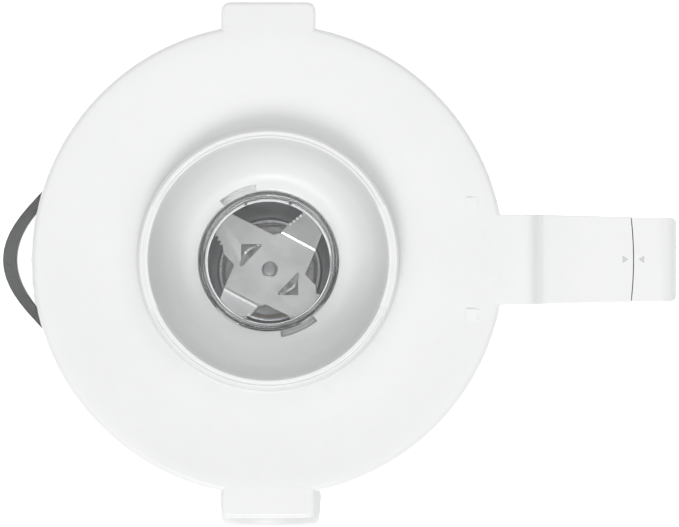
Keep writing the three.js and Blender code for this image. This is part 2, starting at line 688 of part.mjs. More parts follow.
function lid() {
  const whole = joined(lidDisc(), gripTab(1), gripTab(-1), tongue());
  const entries = LUGS.map(([from, to]) =>
    sector(20, LUG_R + 0.4, from - 1, to + 1, LUG_LOW - 0.4, 363));
  const channels = LUGS.map(([from, to]) =>
    sector(20, LUG_R + 0.4, from - 1, to + CUP_TURN + 1, LUG_LOW - 0.4, LUG_HIGH + 0.4));
  return cut(whole, ...entries, ...channels);
}

const lidSeal = () => lathe([
  [64.5, 357.5], [65.6, 358.6], [64.9, 360.7], [65.7, 362.8], [64.5, 364],
], 48);

// ---------------------------------------------------------------- measuring cup

function measuringCup() {
  const [grooveR, grooveLow, grooveHigh] = CUP_GROOVE;
  const wall = lathe([
    [0, CUP_BOTTOM], [CUP_BODY_R - 1.2, CUP_BOTTOM], [CUP_BODY_R, CUP_BOTTOM + 1.2],
    [CUP_BODY_R, grooveLow], [grooveR, grooveLow], [grooveR, grooveHigh], [CUP_BODY_R, grooveHigh],
    [CUP_BODY_R, 356.2], [CUP_R, 357], [CUP_R, CUP_TOP - 0.5], [CUP_R - 0.5, CUP_TOP],
    [CUP_R - CUP_WALL, CUP_TOP], [CUP_R - CUP_WALL, 357], [CUP_BORE_R, 356],
    [CUP_BORE_R, CUP_BOTTOM + 3], [CUP_BORE_R - 1, CUP_BOTTOM + 2], [0, CUP_BOTTOM + 2],
  ], 40);
  const rib = box(CUP_R - CUP_WALL - 1.1, CUP_R - 1, -0.6, 0.6, 357.5, CUP_TOP - 0.5);
  const ribs = [69, 112, 248, 292].map((angle) => turnedZ(rib, angle));
  const lugs = LUGS.map(([from, to]) => sector(20.4, LUG_R, from, to, LUG_LOW, LUG_HIGH));
  return joined(wall, ...ribs, ...lugs);
}

const cupSeal = () => ring(21.5, CUP_GROOVE[0] + GAP, CUP_GROOVE[1] + GAP, CUP_GROOVE[2] - GAP, 40);

// ---------------------------------------------------------------- assembly

const blender = new THREE.Group();
const drawn = new THREE.Group();
drawn.position.set(-ORIGIN_X, -ORIGIN_Y, 0);
blender.add(drawn);

function add(name, made, material, x = 0, y = 0, z = 0) {
  const piece = mesh(name, made, material);
  piece.position.set(x, y, z);
  drawn.add(piece);
}

add('base_housing', baseHousing(), WHITE);
add('bottom_cover', bottomCover(), GREY);
footPoints().forEach(([x, y], i) => add(`foot_${i + 1}`, foot(), RUBBER, x, y));
SCREW_ANGLES.map((angle) => polar(SCREW_CIRCLE, angle))
  .forEach(([x, y], i) => add(`bottom_screw_${i + 1}`, bottomScrew(), STEEL, x, y));
add('cord_inlet', cordInlet(), RUBBER);
add('knob_bezel', knobBezel(), GREY);
add('speed_knob', speedKnob(), WHITE);
add('knob_shaft', knobShaft(), STEEL);
add('speed_switch', speedSwitch(), DARK);
add('control_board', controlBoard(), BOARD);

add('motor_stator', stator(), IRON);
add('field_coil_front', fieldCoil(-1), COPPER);
add('field_coil_back', fieldCoil(1), COPPER);
add('upper_bracket', upperBracket(), ALUMINIUM);
add('lower_bracket', lowerBracket(), ALUMINIUM);
add('upper_bearing', bearing(118.5), STEEL);
add('lower_bearing', bearing(31), STEEL);
add('brush_holder_right', brushHolder(1), BRASS);
add('brush_holder_left', brushHolder(-1), BRASS);
ISOLATOR_POINTS.forEach(([x, y], i) => add(`motor_isolator_${i + 1}`, isolator(), RUBBER, x, y));
add('deck_seal', deckSeal(), RUBBER);
add('reed_switch', reedSwitch(), DARK);

add('motor_shaft', motorShaft(), STEEL);
add('armature_core', armatureCore(), IRON);
add('armature_winding_top', armatureWinding(STACK_HIGH - 0.7, 111), COPPER);
add('armature_winding_bottom', armatureWinding(58, STACK_LOW + 0.7), COPPER);
add('commutator', commutator(), COPPER);
add('cooling_fan', coolingFan(), DARK);
add('drive_coupling', driveCoupling(), DARK);

add('blade_carrier', bladeCarrier(), CARRIER_GREY);
add('blade_seat', bladeSeat(), STEEL);
add('blade_seal', bladeSeal(), SILICONE);
add('blade_bushing', bladeBushing(), BRASS);
add('blade_shaft', bladeShaft(), STEEL);
add('blade_washer', bladeWasher(), STEEL);
add('blade', blade(), STEEL);
add('blade_spacer', bladeSpacer(), STEEL);
add('blade_nut', bladeNut(), STEEL);
add('driven_coupling', drivenCoupling(), DARK);
add('jug_magnet', jugMagnet(), IRON);

add('jug', jug(), CLEAR);
add('jug_handle', jugHandle(), WHITE);
add('handle_screw_upper', handleScrew(UPPER_BOSS), STEEL);
add('handle_screw_lower', handleScrew(LOWER_BOSS), STEEL);

add('lid', lid(), WHITE);
add('lid_seal', lidSeal(), SILICONE);
add('measuring_cup', measuringCup(), CLEAR);
add('cup_seal', cupSeal(), SILICONE);

export default blender;
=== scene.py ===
import math

import bpy
from mathutils import Matrix, Vector


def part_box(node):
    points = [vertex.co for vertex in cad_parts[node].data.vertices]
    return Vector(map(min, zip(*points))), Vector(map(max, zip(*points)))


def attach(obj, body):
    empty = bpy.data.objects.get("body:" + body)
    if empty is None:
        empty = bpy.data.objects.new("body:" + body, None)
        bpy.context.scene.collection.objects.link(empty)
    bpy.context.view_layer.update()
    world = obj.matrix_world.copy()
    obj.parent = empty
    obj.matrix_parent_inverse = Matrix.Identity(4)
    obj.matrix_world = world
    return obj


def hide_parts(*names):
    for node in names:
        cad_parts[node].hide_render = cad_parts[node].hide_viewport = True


bl_info = {
    "name": "Countertop Blender",
    "version": (1, 0, 0),
    "blender": (4, 5, 0),
    "location": "3D View > Sidebar > Countertop Blender",
    "description": "Adds the detailed pieces, materials and studio of a jug blender to its CAD frame",
    "category": "Object",
}

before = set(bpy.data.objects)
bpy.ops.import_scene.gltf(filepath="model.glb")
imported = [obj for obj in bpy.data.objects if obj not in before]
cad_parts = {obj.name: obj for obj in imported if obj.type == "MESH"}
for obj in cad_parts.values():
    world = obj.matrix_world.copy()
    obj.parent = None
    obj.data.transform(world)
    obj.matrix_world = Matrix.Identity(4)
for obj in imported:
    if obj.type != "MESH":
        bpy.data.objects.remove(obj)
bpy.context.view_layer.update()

# Lengths in this file are millimetres about the drive axis, with the table at z = 0.
# The front is -y, the handle is at +x and the spout at -x. place() turns them into metres.

MM = 0.001
FULL_TURN = 2 * math.pi
MERGE_DISTANCE = 2e-6

shaft_box = [Vector(corner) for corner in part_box("motor_shaft")]
AXIS = (shaft_box[0] + shaft_box[1]) / 2
AXIS.z = 0


def place(x, y, z):
    """A point about the drive axis as a point of the frame, in metres."""
    return AXIS + Vector((x, y, z)) * MM


def span(node):
    """Lowest and highest corner of a CAD node, in millimetres about the drive axis."""
    low, high = (Vector(corner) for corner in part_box(node))
    return (low - AXIS) / MM, (high - AXIS) / MM


HOUSING_LOW, HOUSING_HIGH = span("base_housing")
COVER_LOW, COVER_HIGH = span("bottom_cover")
KNOB_LOW, KNOB_HIGH = span("speed_knob")
BEZEL_LOW, BEZEL_HIGH = span("knob_bezel")
INLET_LOW, INLET_HIGH = span("cord_inlet")
CARRIER_LOW, CARRIER_HIGH = span("blade_carrier")
SEAT_LOW = span("blade_seat")[0]
BLADE_LOW = span("blade")[0]
JUG_LOW, JUG_HIGH = span("jug")
HANDLE_LOW, HANDLE_HIGH = span("jug_handle")
LID_LOW, LID_HIGH = span("lid")
CUP_LOW, CUP_HIGH = span("measuring_cup")

DECK = CARRIER_LOW.z - 0.3
KNOB_MIDDLE = (KNOB_LOW.z + KNOB_HIGH.z) / 2
INLET_MIDDLE = (INLET_LOW.z + INLET_HIGH.z) / 2
COLLAR_TOP = LID_HIGH.z
LID_TOP = COLLAR_TOP - 6.4
DISH_FLOOR = COLLAR_TOP - 26.4
LID_UNDER = JUG_HIGH.z + 0.3
TONGUE_TOP = HANDLE_HIGH.z
TONGUE_END = LID_HIGH.x
BLADE_FLAT = BLADE_LOW.z + 0.8
LUG_ANGLES = ((100.5, 128), (280.5, 308))
LUG_LOW = 354.6
LUG_HIGH = 356.8
LUG_ROOM = 0.4                   # free height above and below a lug in its channel
CHANNEL_RADIUS = 24
CUP_TURN = 20                    # degrees that the cup turns to lock
SCREW_ANGLES = (25, 155, 205, 335)
SCREW_CIRCLE = 64
FOOT_CIRCLE = 54


# ---------------------------------------------------------------- sizes and colours


class BlenderSizes(bpy.types.PropertyGroup):
    """Sizes that can be changed without leaving the space of the CAD pieces"""

    round_steps: bpy.props.IntProperty(
        name="Round steps", description="Steps of a full turn on the large round pieces",
        default=160, min=48, max=256)
    lid_radius: bpy.props.FloatProperty(
        name="Lid radius", description="Radius of the lid's round disc",
        default=72.5 * MM, unit="LENGTH")
    collar_radius: bpy.props.FloatProperty(
        name="Collar radius", description="Outer radius of the raised collar on the lid",
        default=40 * MM, unit="LENGTH")
    filler_radius: bpy.props.FloatProperty(
        name="Filler radius", description="Radius of the filler hole in the lid",
        default=21.8 * MM, unit="LENGTH")
    jug_rim_radius: bpy.props.FloatProperty(
        name="Jug rim radius", description="Outer radius of the jug at its rim",
        default=JUG_HIGH.y * MM, unit="LENGTH")
    jug_wall: bpy.props.FloatProperty(
        name="Jug wall", description="Thickness of the jug's wall",
        default=3 * MM, unit="LENGTH")
    spout_reach: bpy.props.FloatProperty(
        name="Spout reach", description="How far the spout stands out of the rim",
        default=(-JUG_LOW.x - JUG_HIGH.y) * MM, unit="LENGTH")
    blade_thickness: bpy.props.FloatProperty(
        name="Blade thickness", description="Thickness of the blade's steel",
        default=1.6 * MM, unit="LENGTH")
    blade_rise: bpy.props.FloatProperty(
        name="Blade tip rise", description="Angle of the two bent arms above the flat ones",
        default=math.radians(32), subtype="ANGLE")
    knob_radius: bpy.props.FloatProperty(
        name="Knob radius", description="Radius of the speed knob",
        default=KNOB_HIGH.x * MM, unit="LENGTH")
    camera_height: bpy.props.FloatProperty(
        name="Camera height", description="Height of the camera above the table",
        default=2380 * MM, unit="LENGTH")
    camera_lens: bpy.props.FloatProperty(
        name="Lens", description="Focal length of the camera",
        default=346, min=50, max=800, subtype="DISTANCE_CAMERA")


class BlenderColours(bpy.types.PropertyGroup):
    """Colours of the finishes"""

    body: bpy.props.FloatVectorProperty(
        name="Body", description="White moulded plastic", subtype="COLOR",
        default=(0.845, 0.85, 0.85), min=0, max=1)
    trim: bpy.props.FloatVectorProperty(
        name="Trim", description="Grey moulded plastic", subtype="COLOR",
        default=(0.42, 0.43, 0.44), min=0, max=1)
    carrier: bpy.props.FloatVectorProperty(
        name="Carrier", description="Dark grey plastic of the blade carrier", subtype="COLOR",
        default=(0.13, 0.134, 0.14), min=0, max=1)
    marks: bpy.props.FloatVectorProperty(
        name="Marks", description="Printed marks", subtype="COLOR",
        default=(0.63, 0.635, 0.64), min=0, max=1)
    steel: bpy.props.FloatVectorProperty(
        name="Steel", description="Blade steel", subtype="COLOR",
        default=(0.68, 0.68, 0.68), min=0, max=1)
    floor: bpy.props.FloatVectorProperty(
        name="Floor", description="Studio floor", subtype="COLOR",
        default=(0.9, 0.9, 0.9), min=0, max=1)


# ---------------------------------------------------------------- modelling tools


def deselect_all():
    if bpy.context.object and bpy.context.object.mode != "OBJECT":
        bpy.ops.object.mode_set(mode="OBJECT")
    bpy.ops.object.select_all(action="DESELECT")


def pick(obj):
    deselect_all()
    obj.select_set(True)
    bpy.context.view_layer.objects.active = obj


def trace(name, points, closed=True):
    """A new object in edit mode: a line of edges extruded from point to point."""
    deselect_all()
    bpy.ops.mesh.primitive_plane_add(size=MM, location=(0, 0, 0))
    obj = bpy.context.object
    obj.name = obj.data.name = name
    bpy.ops.object.mode_set(mode="EDIT")
    bpy.ops.mesh.merge(type="CENTER")
    bpy.ops.transform.translate(value=points[0])
    route = points + points[:1] if closed else points
    for here, there in zip(route, route[1:]):
        bpy.ops.mesh.extrude_vertices_move(TRANSFORM_OT_translate={"value": there - here})
    bpy.ops.mesh.select_all(action="SELECT")
    bpy.ops.mesh.remove_doubles(threshold=MERGE_DISTANCE)
    return obj


def leave_edit(obj):
    """Merges doubles, turns the faces outwards and goes back to object mode."""
    bpy.ops.mesh.select_all(action="SELECT")
    bpy.ops.mesh.remove_doubles(threshold=MERGE_DISTANCE)
    bpy.ops.mesh.normals_make_consistent(inside=False)
    bpy.ops.object.mode_set(mode="OBJECT")
    return obj


def turned(name, profile, steps=96, facing="up", middle=(0, 0), closed=True):
    """A solid of revolution. The profile holds (radius, height along the axis).

    Facing up, middle is the x and y of its axis. Facing front, it is the axis's x and z.
    """
    if facing == "up":
        points = [place(middle[0] + r, middle[1], h) for r, h in profile]
        centre, axis = place(*middle, 0), (0, 0, 1)
    else:
        points = [place(middle[0] + r, h, middle[1]) for r, h in profile]
        centre, axis = place(middle[0], 0, middle[1]), (0, 1, 0)
    obj = trace(name, points, closed)
    bpy.ops.mesh.spin(steps=steps, angle=FULL_TURN, center=centre, axis=axis)
    bpy.ops.mesh.select_all(action="SELECT")
    bpy.ops.mesh.remove_doubles(threshold=MERGE_DISTANCE)
    bpy.ops.mesh.delete_loose()
    bpy.ops.mesh.dissolve_degenerate(threshold=MERGE_DISTANCE)
    return leave_edit(obj)


def raised(name, outline, low, high, side_view=False):
    """A prism. The outline is in x and y between two heights, or in x and z between two y."""
    if side_view:
        points = [place(x, low, z) for x, z in outline]
        step = Vector((0, high - low, 0)) * MM
    else:
        points = [place(x, y, low) for x, y in outline]
        step = Vector((0, 0, high - low)) * MM
    obj = trace(name, points)
    bpy.ops.mesh.edge_face_add()
    bpy.ops.mesh.extrude_region_move(TRANSFORM_OT_translate={"value": step})
    return leave_edit(obj)


def wedge(name, inner, outer, low, high, start, end):
    """A piece of a ring between two angles in degrees."""
    steps = max(6, round(abs(end - start) / 3))
    angles = [math.radians(start + (end - start) * i / steps) for i in range(steps + 1)]
    outline = [(outer * math.cos(a), outer * math.sin(a)) for a in angles]
    outline += [(inner * math.cos(a), inner * math.sin(a)) for a in reversed(angles)]
    return raised(name, outline, low, high)


def combine(obj, tool, operation="UNION"):
    """Adds a second solid, cuts it away or keeps what both share. The tool is used up."""
    pick(obj)
    bpy.ops.object.modifier_add(type="BOOLEAN")
    step = obj.modifiers[-1]
    step.operation = operation
    step.solver = "EXACT"
    step.object = tool
    bpy.ops.object.modifier_apply(modifier=step.name)
    bpy.data.meshes.remove(tool.data)
    if not obj.data.polygons:
        raise RuntimeError(f"nothing is left of {obj.name}")
    return obj


def cut(obj, tool):
    return combine(obj, tool, "DIFFERENCE")


def soften(obj, width, segments=2, angle=35):
    """Rounds every edge that is sharper than the angle."""
    pick(obj)
    bpy.ops.object.modifier_add(type="BEVEL")
    step = obj.modifiers[-1]
    step.width = width * MM
    step.segments = segments
    step.limit_method = "ANGLE"
    step.angle_limit = math.radians(angle)
    bpy.ops.object.modifier_apply(modifier=step.name)
    return obj


def shade(obj, angle=32):
    """Smooth shading that leaves flat faces flat and corners sharp."""
    pick(obj)
    bpy.ops.object.shade_smooth_by_angle(angle=math.radians(angle))
    bpy.ops.object.modifier_add(type="WEIGHTED_NORMAL")
    step = obj.modifiers[-1]
    step.keep_sharp = True
    bpy.ops.object.modifier_apply(modifier=step.name)
    return obj


def reshape(obj, rule):
    """Moves each point of a mesh by a rule on its place in millimetres about the axis."""
    for vertex in obj.data.vertices:
        vertex.co = place(*rule(*((vertex.co - AXIS) / MM)))
    return obj


def duplicate(obj, name, turn=0, move=(0, 0, 0)):
    """A copy with its own mesh, turned about the drive axis in degrees, then moved."""
    pick(obj)
    bpy.ops.object.duplicate(linked=False)
    copy = bpy.context.object
    copy.name = copy.data.name = name
    bpy.ops.object.mode_set(mode="EDIT")
    bpy.ops.mesh.select_all(action="SELECT")
    bpy.ops.transform.rotate(value=-math.radians(turn), orient_axis="Z", center_override=AXIS)
    bpy.ops.transform.translate(value=Vector(move) * MM)
    bpy.ops.object.mode_set(mode="OBJECT")
    return copy


def eased(corners, steps=4):
    """Corners (a, b) or (a, b, ease). An ease rounds the corner, starting that far from it."""
    line = []
    for i, corner in enumerate(corners):
        point = Vector(corner[:2])
        if len(corner) == 2:
            line.append(tuple(point))
            continue
        before = Vector(corners[i - 1][:2]) - point
        after = Vector(corners[(i + 1) % len(corners)][:2]) - point
        begin = point + before.normalized() * min(corner[2], before.length * 0.48)
        end = point + after.normalized() * min(corner[2], after.length * 0.48)
        for k in range(steps + 1):
            t = k / steps
            line.append(tuple(begin * (1 - t) ** 2 + point * (2 * t * (1 - t)) + end * t ** 2))
    return line


def box_outline(x0, x1, y0, y1, ease=0.0):
    corners = [(x0, y0), (x1, y0), (x1, y1), (x0, y1)]
    return eased([(*corner, ease) for corner in corners]) if ease else corners


def arc(radius, start, end, steps, centre=(0, 0)):
    """Points on an arc between two angles in degrees."""
    angles = [math.radians(start + (end - start) * i / steps) for i in range(steps + 1)]
    return [(centre[0] + radius * math.cos(a), centre[1] + radius * math.sin(a)) for a in angles]


def polar(radius, degrees):
    angle = math.radians(degrees)
    return radius * math.cos(angle), radius * math.sin(angle)


def fade(value, low, high):
    """0 below low, 1 above high, and a smooth rise between them."""
    t = min(max((value - low) / (high - low), 0), 1)
    return t * t * (3 - 2 * t)


def fluted(obj, count, depth, from_height, to_height, least_radius, facing="up"):
    """Draws shallow grip flutes into the outside of a turned piece."""

    def rule(x, y, z):
        across, height = ((x, y), z) if facing == "up" else ((x, z - KNOB_MIDDLE), y)
        radius = math.hypot(*across)
        if radius < least_radius:
            return x, y, z
        inside = fade(height, from_height, from_height + 2) * (1 - fade(height, to_height - 2, to_height))
        angle = math.atan2(across[1], across[0])
        scale = 1 - depth * inside * (0.5 - 0.5 * math.cos(count * angle)) / radius
        if facing == "up":
            return x * scale, y * scale, z
        return x * scale, y, KNOB_MIDDLE + (z - KNOB_MIDDLE) * scale

    return reshape(obj, rule)


def finished(obj, body, finish, *nodes, slot=None):
    """Gives a piece its material and its body, and hides the CAD nodes that it stands for. The slot is not
    used.
    """
    obj.data.materials.clear()
    obj.data.materials.append(material(finish))
    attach(obj, body)
    if nodes:
        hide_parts(*nodes)
    return obj


# ---------------------------------------------------------------- shader tools


def node(tree, kind, values=None, **settings):
    made = tree.nodes.new(kind)
    for key, value in settings.items():
        setattr(made, key, value)
    for key, value in (values or {}).items():
        if isinstance(value, bpy.types.NodeSocket):
            tree.links.new(value, made.inputs[key])
        else:
            made.inputs[key].default_value = value
    return made


def join(tree, target, values):
    """Links sockets to the named inputs of a node that is already there."""
    for name, socket in values.items():
        tree.links.new(socket, target.inputs[name])


def noise(tree, where, scale, detail, **more):
    values = {"Vector": where, "Scale": scale, "Detail": detail, **more}
    return node(tree, "ShaderNodeTexNoise", values).outputs["Fac"]


def mapping(tree, where, **values):
    return node(tree, "ShaderNodeMapping", {"Vector": where, **values}).outputs[0]


def spread(tree, value, low, high, new_low=0.0, new_high=1.0):
    """Carries a value from one range over to another."""
    return node(tree, "ShaderNodeMapRange", {
        "Value": value, "From Min": low, "From Max": high, "To Min": new_low, "To Max": new_high}).outputs[0]


def reckon(tree, operation, first, second, clamp=False):
    made = node(tree, "ShaderNodeMath", {0: first, 1: second}, operation=operation, use_clamp=clamp)
    return made.outputs[0]


def mixed(tree, share, first, second):
    return node(tree, "ShaderNodeMix", {0: share, 6: first, 7: second}, data_type="RGBA").outputs[2]


def socket_kind(label):
    if label == "Vector":
        return "NodeSocketVector"
    return "NodeSocketColor" if label.endswith(("Color", "Tone")) else "NodeSocketFloat"


def new_group(name, inputs, outputs):
    """An empty node group. Returns it with its input sockets and its output node."""
    tree = bpy.data.node_groups.new(name, "ShaderNodeTree")
    for in_out, labels in (("INPUT", inputs), ("OUTPUT", outputs)):
        for label in labels:
            tree.interface.new_socket(name=label, in_out=in_out, socket_type=socket_kind(label))
    given = tree.nodes.new("NodeGroupInput").outputs
    return tree, given, tree.nodes.new("NodeGroupOutput")


def moulded_grain():
    """Fine spark-eroded grain and a slow drift of gloss."""
    tree, given, result = new_group(
        "moulded_grain", ("Vector", "Grain Scale", "Gloss Scale", "Rough Low", "Rough High"),
        ("Roughness", "Height"))
    where, grain = given["Vector"], given["Grain Scale"]
    fine = noise(tree, where, grain, 3.0, Roughness=0.6)
    pits = node(tree, "ShaderNodeTexVoronoi", {"Vector": where, "Scale": grain}).outputs["Distance"]
    drift = noise(tree, where, given["Gloss Scale"], 4.0)
    join(tree, result, {
        "Roughness": spread(tree, drift, 0.3, 0.7, given["Rough Low"], given["Rough High"]),
        "Height": reckon(tree, "ADD", fine, pits)})
    return tree


def tone_drift():
    """Slow change between two close tones of one colour."""
    tree, given, result = new_group("tone_drift", ("Vector", "Scale", "Tone", "Second Tone"), ("Color",))
    share = spread(tree, noise(tree, given["Vector"], given["Scale"], 5.0, Roughness=0.55), 0.35, 0.65)
    join(tree, result, {"Color": mixed(tree, share, given["Tone"], given["Second Tone"])})
    return tree


def settled_dust():
    """A thin uneven film on faces that look up."""
    tree, given, result = new_group(
        "settled_dust", ("Vector", "Scale", "Amount", "Color", "Dust Color"), ("Color", "Mask"))
    normal = node(tree, "ShaderNodeNewGeometry").outputs["Normal"]
    upward = node(tree, "ShaderNodeSeparateXYZ", {"Vector": normal}).outputs["Z"]
    specks = noise(tree, given["Vector"], given["Scale"], 8.0, Roughness=0.7)
    both = reckon(tree, "MULTIPLY", spread(tree, upward, 0.6, 1.0), spread(tree, specks, 0.45, 0.75))
    mask = reckon(tree, "MULTIPLY", both, given["Amount"])
    join(tree, result, {"Color": mixed(tree, mask, given["Color"], given["Dust Color"]), "Mask": mask})
    return tree


def edge_polish():
    """Edges rubbed lighter than the faces beside them."""
    tree, given, result = new_group("edge_polish", ("Color", "Edge Color", "Amount"), ("Color", "Mask"))
    pointed = node(tree, "ShaderNodeNewGeometry").outputs["Pointiness"]
    mask = reckon(tree, "MULTIPLY", spread(tree, pointed, 0.51, 0.58), given["Amount"])
    join(tree, result, {"Color": mixed(tree, mask, given["Color"], given["Edge Color"]), "Mask": mask})
    return tree


def drawn_lines():
    """Fine parallel lines left by grinding or drawing, along the vector's x."""
    tree, given, result = new_group(
        "drawn_lines", ("Vector", "Line Scale", "Rough Low", "Rough High"), ("Roughness", "Height"))
    stretched = mapping(tree, given["Vector"], Scale=(0.04, 1.0, 1.0))
    lines = noise(tree, stretched, given["Line Scale"], 4.0, Roughness=0.65)
    both = reckon(tree, "MULTIPLY", lines, noise(tree, given["Vector"], 0.12, 3.0))
    join(tree, result, {
        "Roughness": spread(tree, both, 0.12, 0.4, given["Rough Low"], given["Rough High"]), "Height": lines})
    return tree


def handling_marks():
    """Hairline scratches and smears on a glossy surface."""
    tree, given, result = new_group(
        "handling_marks", ("Vector", "Rough Low", "Rough High"), ("Roughness", "Height"))
    smears = noise(tree, given["Vector"], 0.07, 6.0, Distortion=0.6)
    bent = mapping(tree, given["Vector"], Rotation=(0.4, 0.9, 0.3), Scale=(0.02, 0.6, 0.6))
    hairs = spread(tree, noise(tree, bent, 1.4, 2.0), 0.66, 0.7)
    both = reckon(tree, "ADD", smears, hairs)
    join(tree, result, {
        "Roughness": spread(tree, both, 0.4, 1.2, given["Rough Low"], given["Rough High"]), "Height": hairs})
    return tree


GROUP_MAKERS = {maker.__name__: maker for maker in
                (moulded_grain, tone_drift, settled_dust, edge_polish, drawn_lines, handling_marks)}


def effect(tree, name, values):
    """Places a shared node group, which is built the first time it is asked for."""
    group = bpy.data.node_groups.get(name) or GROUP_MAKERS[name]()
    return node(tree, "ShaderNodeGroup", values, node_tree=group).outputs


def blank(name):
    """A new material with its Principled shader and object coordinates in millimetres."""
    material = bpy.data.materials.new(name)
    material.use_nodes = True
    tree = material.node_tree
    tree.nodes.clear()
    shader = tree.nodes.new("ShaderNodeBsdfPrincipled")
    join(tree, tree.nodes.new("ShaderNodeOutputMaterial"), {"Surface": shader.outputs[0]})
    where = node(tree, "ShaderNodeTexCoord").outputs["Object"]
    return material, tree, shader, mapping(tree, where, Scale=(1 / MM, 1 / MM, 1 / MM))


def opaque(colour):
    return (*colour[:3], 1.0)


def scaled_tone(colour, factor):
    return tuple(min(1.0, part * factor) for part in colour[:3]) + (1.0,)


def drifting(tree, where, scale, colour, factor):
    """A colour that drifts slowly between its own tone and a scaled one."""
    return effect(tree, "tone_drift", {
        "Vector": where, "Scale": scale, "Tone": opaque(colour),
        "Second Tone": scaled_tone(colour, factor)})["Color"]


def bumped(tree, shader, height, distance, strength=1.0):
    bump = node(tree, "ShaderNodeBump", {"Height": height, "Distance": distance * MM, "Strength": strength})
    join(tree, shader, {"Normal": bump.outputs["Normal"]})


def plastic(name, colour, rough, second=0.95, grain=2.2, depth=0.015, dust=0.15, coat=0.0, edge=0.0):
    """Opaque moulded plastic, rubber or enamel."""
    material, tree, shader, where = blank(name)
    rubbed = effect(tree, "edge_polish", {
        "Color": drifting(tree, where, 0.02, colour, second), "Edge Color": scaled_tone(colour, 1.25),
        "Amount": edge})
    film = effect(tree, "settled_dust", {
        "Vector": where, "Scale": 0.15, "Amount": dust, "Color": rubbed["Color"],
        "Dust Color": (0.62, 0.61, 0.59, 1.0)})
    surface = effect(tree, "moulded_grain", {
        "Vector": where, "Grain Scale": grain, "Gloss Scale": 0.05,
        "Rough Low": rough[0], "Rough High": rough[1]})
    rough_film = reckon(tree, "ADD", surface["Roughness"], film["Mask"], clamp=True)
    join(tree, shader, {"Base Color": film["Color"], "Roughness": rough_film})
    bumped(tree, shader, surface["Height"], depth)
    shader.inputs["Coat Weight"].default_value = coat
    shader.inputs["Coat Roughness"].default_value = 0.2
    return material


def metal(name, colour, rough, lines=3.0, depth=0.01, edge=0.5, turn=0.0):
    """Drawn, ground or turned metal."""
    material, tree, shader, where = blank(name)
    rubbed = effect(tree, "edge_polish", {
        "Color": drifting(tree, where, 0.09, colour, 0.82), "Edge Color": scaled_tone(colour, 1.3),
        "Amount": edge})
    surface = effect(tree, "drawn_lines", {
        "Vector": mapping(tree, where, Rotation=(0, 0, turn)), "Line Scale": lines,
        "Rough Low": rough[0], "Rough High": rough[1]})
    join(tree, shader, {"Base Color": rubbed["Color"], "Roughness": surface["Roughness"]})
    bumped(tree, shader, surface["Height"], depth)
    shader.inputs["Metallic"].default_value = 1.0
    return material


def clear_plastic(name, tint, rough, shadow, depth, clear):
    """Clear moulded plastic. Rays from lamps pass it with the shadow's tint."""
    material, tree, shader, where = blank(name)
    marks = effect(tree, "handling_marks", {"Vector": where, "Rough Low": rough[0], "Rough High": rough[1]})
    join(tree, shader, {
        "Base Color": drifting(tree, where, 0.03, tint, 0.97), "Roughness": marks["Roughness"]})
    bumped(tree, shader, marks["Height"], depth, 0.4)
    shader.inputs["IOR"].default_value = 1.49
    shader.inputs["Transmission Weight"].default_value = clear
    passing = node(tree, "ShaderNodeBsdfTransparent", {"Color": opaque(shadow)})
    for_lamps = node(tree, "ShaderNodeLightPath").outputs["Is Shadow Ray"]
    mix = node(tree, "ShaderNodeMixShader", {0: for_lamps, 1: shader.outputs[0], 2: passing.outputs[0]})
    join(tree, tree.nodes["Material Output"], {"Surface": mix.outputs[0]})
    return material


def winding_wire(name):
    """Enamelled copper wire wound in close turns."""
    material, tree, shader, where = blank(name)
    wave = {"Vector": where, "Scale": 0.45, "Distortion": 0.6, "Detail": 2.0}
    turns = node(tree, "ShaderNodeTexWave", wave, bands_direction="DIAGONAL").outputs["Fac"]
    tone = effect(tree, "tone_drift", {
        "Vector": where, "Scale": 0.2, "Tone": (0.5, 0.17, 0.06, 1), "Second Tone": (0.36, 0.1, 0.035, 1)})
    surface = effect(tree, "drawn_lines", {
        "Vector": where, "Line Scale": 2.0, "Rough Low": 0.22, "Rough High": 0.42})
    join(tree, shader, {"Base Color": mixed(tree, turns, (0.16, 0.045, 0.018, 1), tone["Color"]),
                        "Roughness": surface["Roughness"]})
    bumped(tree, shader, turns, 0.25)
    shader.inputs["Metallic"].default_value = 0.7
    return material


def stacked_iron(name):
    """Edges of stacked sheet iron."""
    material, tree, shader, where = blank(name)
    sheets = node(tree, "ShaderNodeTexWave", {"Vector": where, "Scale": 0.6}, bands_direction="Z")
    tone = effect(tree, "tone_drift", {
        "Vector": where, "Scale": 0.15, "Tone": (0.16, 0.16, 0.17, 1), "Second Tone": (0.1, 0.09, 0.085, 1)})
    surface = effect(tree, "moulded_grain", {
        "Vector": where, "Grain Scale": 1.2, "Gloss Scale": 0.1, "Rough Low": 0.4, "Rough High": 0.65})
    join(tree, shader, {"Base Color": tone["Color"], "Roughness": surface["Roughness"]})
    bumped(tree, shader, sheets.outputs["Fac"], 0.12)
    shader.inputs["Metallic"].default_value = 0.85
    return material


def circuit_board(name):
    """Green laminate with copper tracks below its lacquer."""
    material, tree, shader, where = blank(name)
    tracks = node(tree, "ShaderNodeTexBrick",
                  {"Vector": where, "Scale": 0.28, "Mortar Size": 0.04, "Color1": (0.03, 0.16, 0.07, 1),
                   "Color2": (0.025, 0.13, 0.055, 1), "Mortar": (0.09, 0.3, 0.13, 1)})
    surface = effect(tree, "moulded_grain", {
        "Vector": where, "Grain Scale": 1.5, "Gloss Scale": 0.1, "Rough Low": 0.25, "Rough High": 0.4})
    join(tree, shader, {"Base Color": tracks.outputs["Color"], "Roughness": surface["Roughness"]})
    bumped(tree, shader, tracks.outputs["Fac"], 0.05)
    return material


